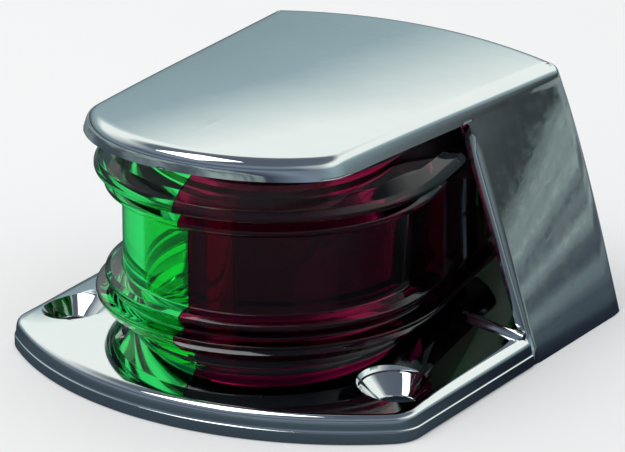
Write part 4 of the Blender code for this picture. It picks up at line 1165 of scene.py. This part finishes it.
def seen_in_mirror(tree):
    """1 for a ray off a glossy surface, and 0 for any other and for one that came through the lens."""
    path = add_node(tree, "ShaderNodeLightPath")
    node = add_node(tree, "ShaderNodeMath", operation="SUBTRACT", use_clamp=True)
    tree.links.new(path.outputs["Is Glossy Ray"], node.inputs[0])
    tree.links.new(path.outputs["Is Transmission Ray"], node.inputs[1])
    return node.outputs["Value"]


def make_world():
    """A white studio. Glossy surfaces mirror a darker room with a bright band beyond the light."""
    world = bpy.data.worlds.new("studio")
    bpy.context.scene.world = world
    world.use_nodes = True
    tree = world.node_tree
    background = tree.nodes["Background"]
    place = add_node(tree, "ShaderNodeTexCoord")
    split = add_node(tree, "ShaderNodeSeparateXYZ")
    tree.links.new(place.outputs["Generated"], split.inputs["Vector"])
    far = ramp(tree, split.outputs["Z"], ROOM_FAR)
    near = ramp(tree, split.outputs["Z"], ROOM_NEAR)
    facing = add_node(tree, "ShaderNodeMapRange", From_Min=ROOM_BLEND_Y[0], From_Max=ROOM_BLEND_Y[1])
    tree.links.new(split.outputs["Y"], facing.inputs["Value"])
    room = mixture(tree, facing.outputs["Result"], near, far)
    path = add_node(tree, "ShaderNodeLightPath")
    shown = mixture(tree, path.outputs["Is Glossy Ray"], (1.0, 1.0, 1.0, 1.0), room)
    tree.links.new(shown, background.inputs["Color"])
    background.inputs["Strength"].default_value = 1.0


def add_light(name, place, size, power):
    """A soft rectangular light that looks at the middle of the object."""
    light = bpy.data.lights.new(name, "AREA")
    light.shape = "RECTANGLE"
    light.size, light.size_y = size
    light.energy = power
    item = bpy.data.objects.new(name, light)
    item.location = place
    item.rotation_mode = "QUATERNION"
    item.rotation_quaternion = (CAMERA_AIM - Vector(place)).to_track_quat("-Z", "Y")
    bpy.context.scene.collection.objects.link(item)


def make_camera():
    camera = bpy.data.cameras.new("camera")
    camera.lens = CAMERA_LENS
    camera.sensor_width = 36.0
    camera.shift_x, camera.shift_y = CAMERA_SHIFT
    camera.clip_start = 0.05
    camera.clip_end = 20.0
    item = bpy.data.objects.new("camera", camera)
    back = Vector((math.sin(CAMERA_AZIMUTH) * math.cos(CAMERA_ELEVATION),
                   -math.cos(CAMERA_AZIMUTH) * math.cos(CAMERA_ELEVATION), math.sin(CAMERA_ELEVATION)))
    item.location = CAMERA_AIM + back * CAMERA_DISTANCE
    item.rotation_mode = "QUATERNION"
    look = (-back).to_track_quat("-Z", "Y")
    item.rotation_quaternion = look @ Matrix.Rotation(CAMERA_ROLL, 3, "Z").to_quaternion()
    bpy.context.scene.collection.objects.link(item)
    bpy.context.scene.camera = item
    bpy.context.scene.view_settings.view_transform = "Standard"


make_camera()
MATERIALS = all_materials()
make_cover()
make_base()
make_lens("red", 1.0)
make_lens("green", -1.0)
make_gaskets()
make_bulb()
make_holder()
make_bracket()
make_screws()
make_grommet()
make_floor()
make_world()
add_light("overhead_softbox", (-0.25, -0.35, 0.9), (0.55, 0.55), 3.0)
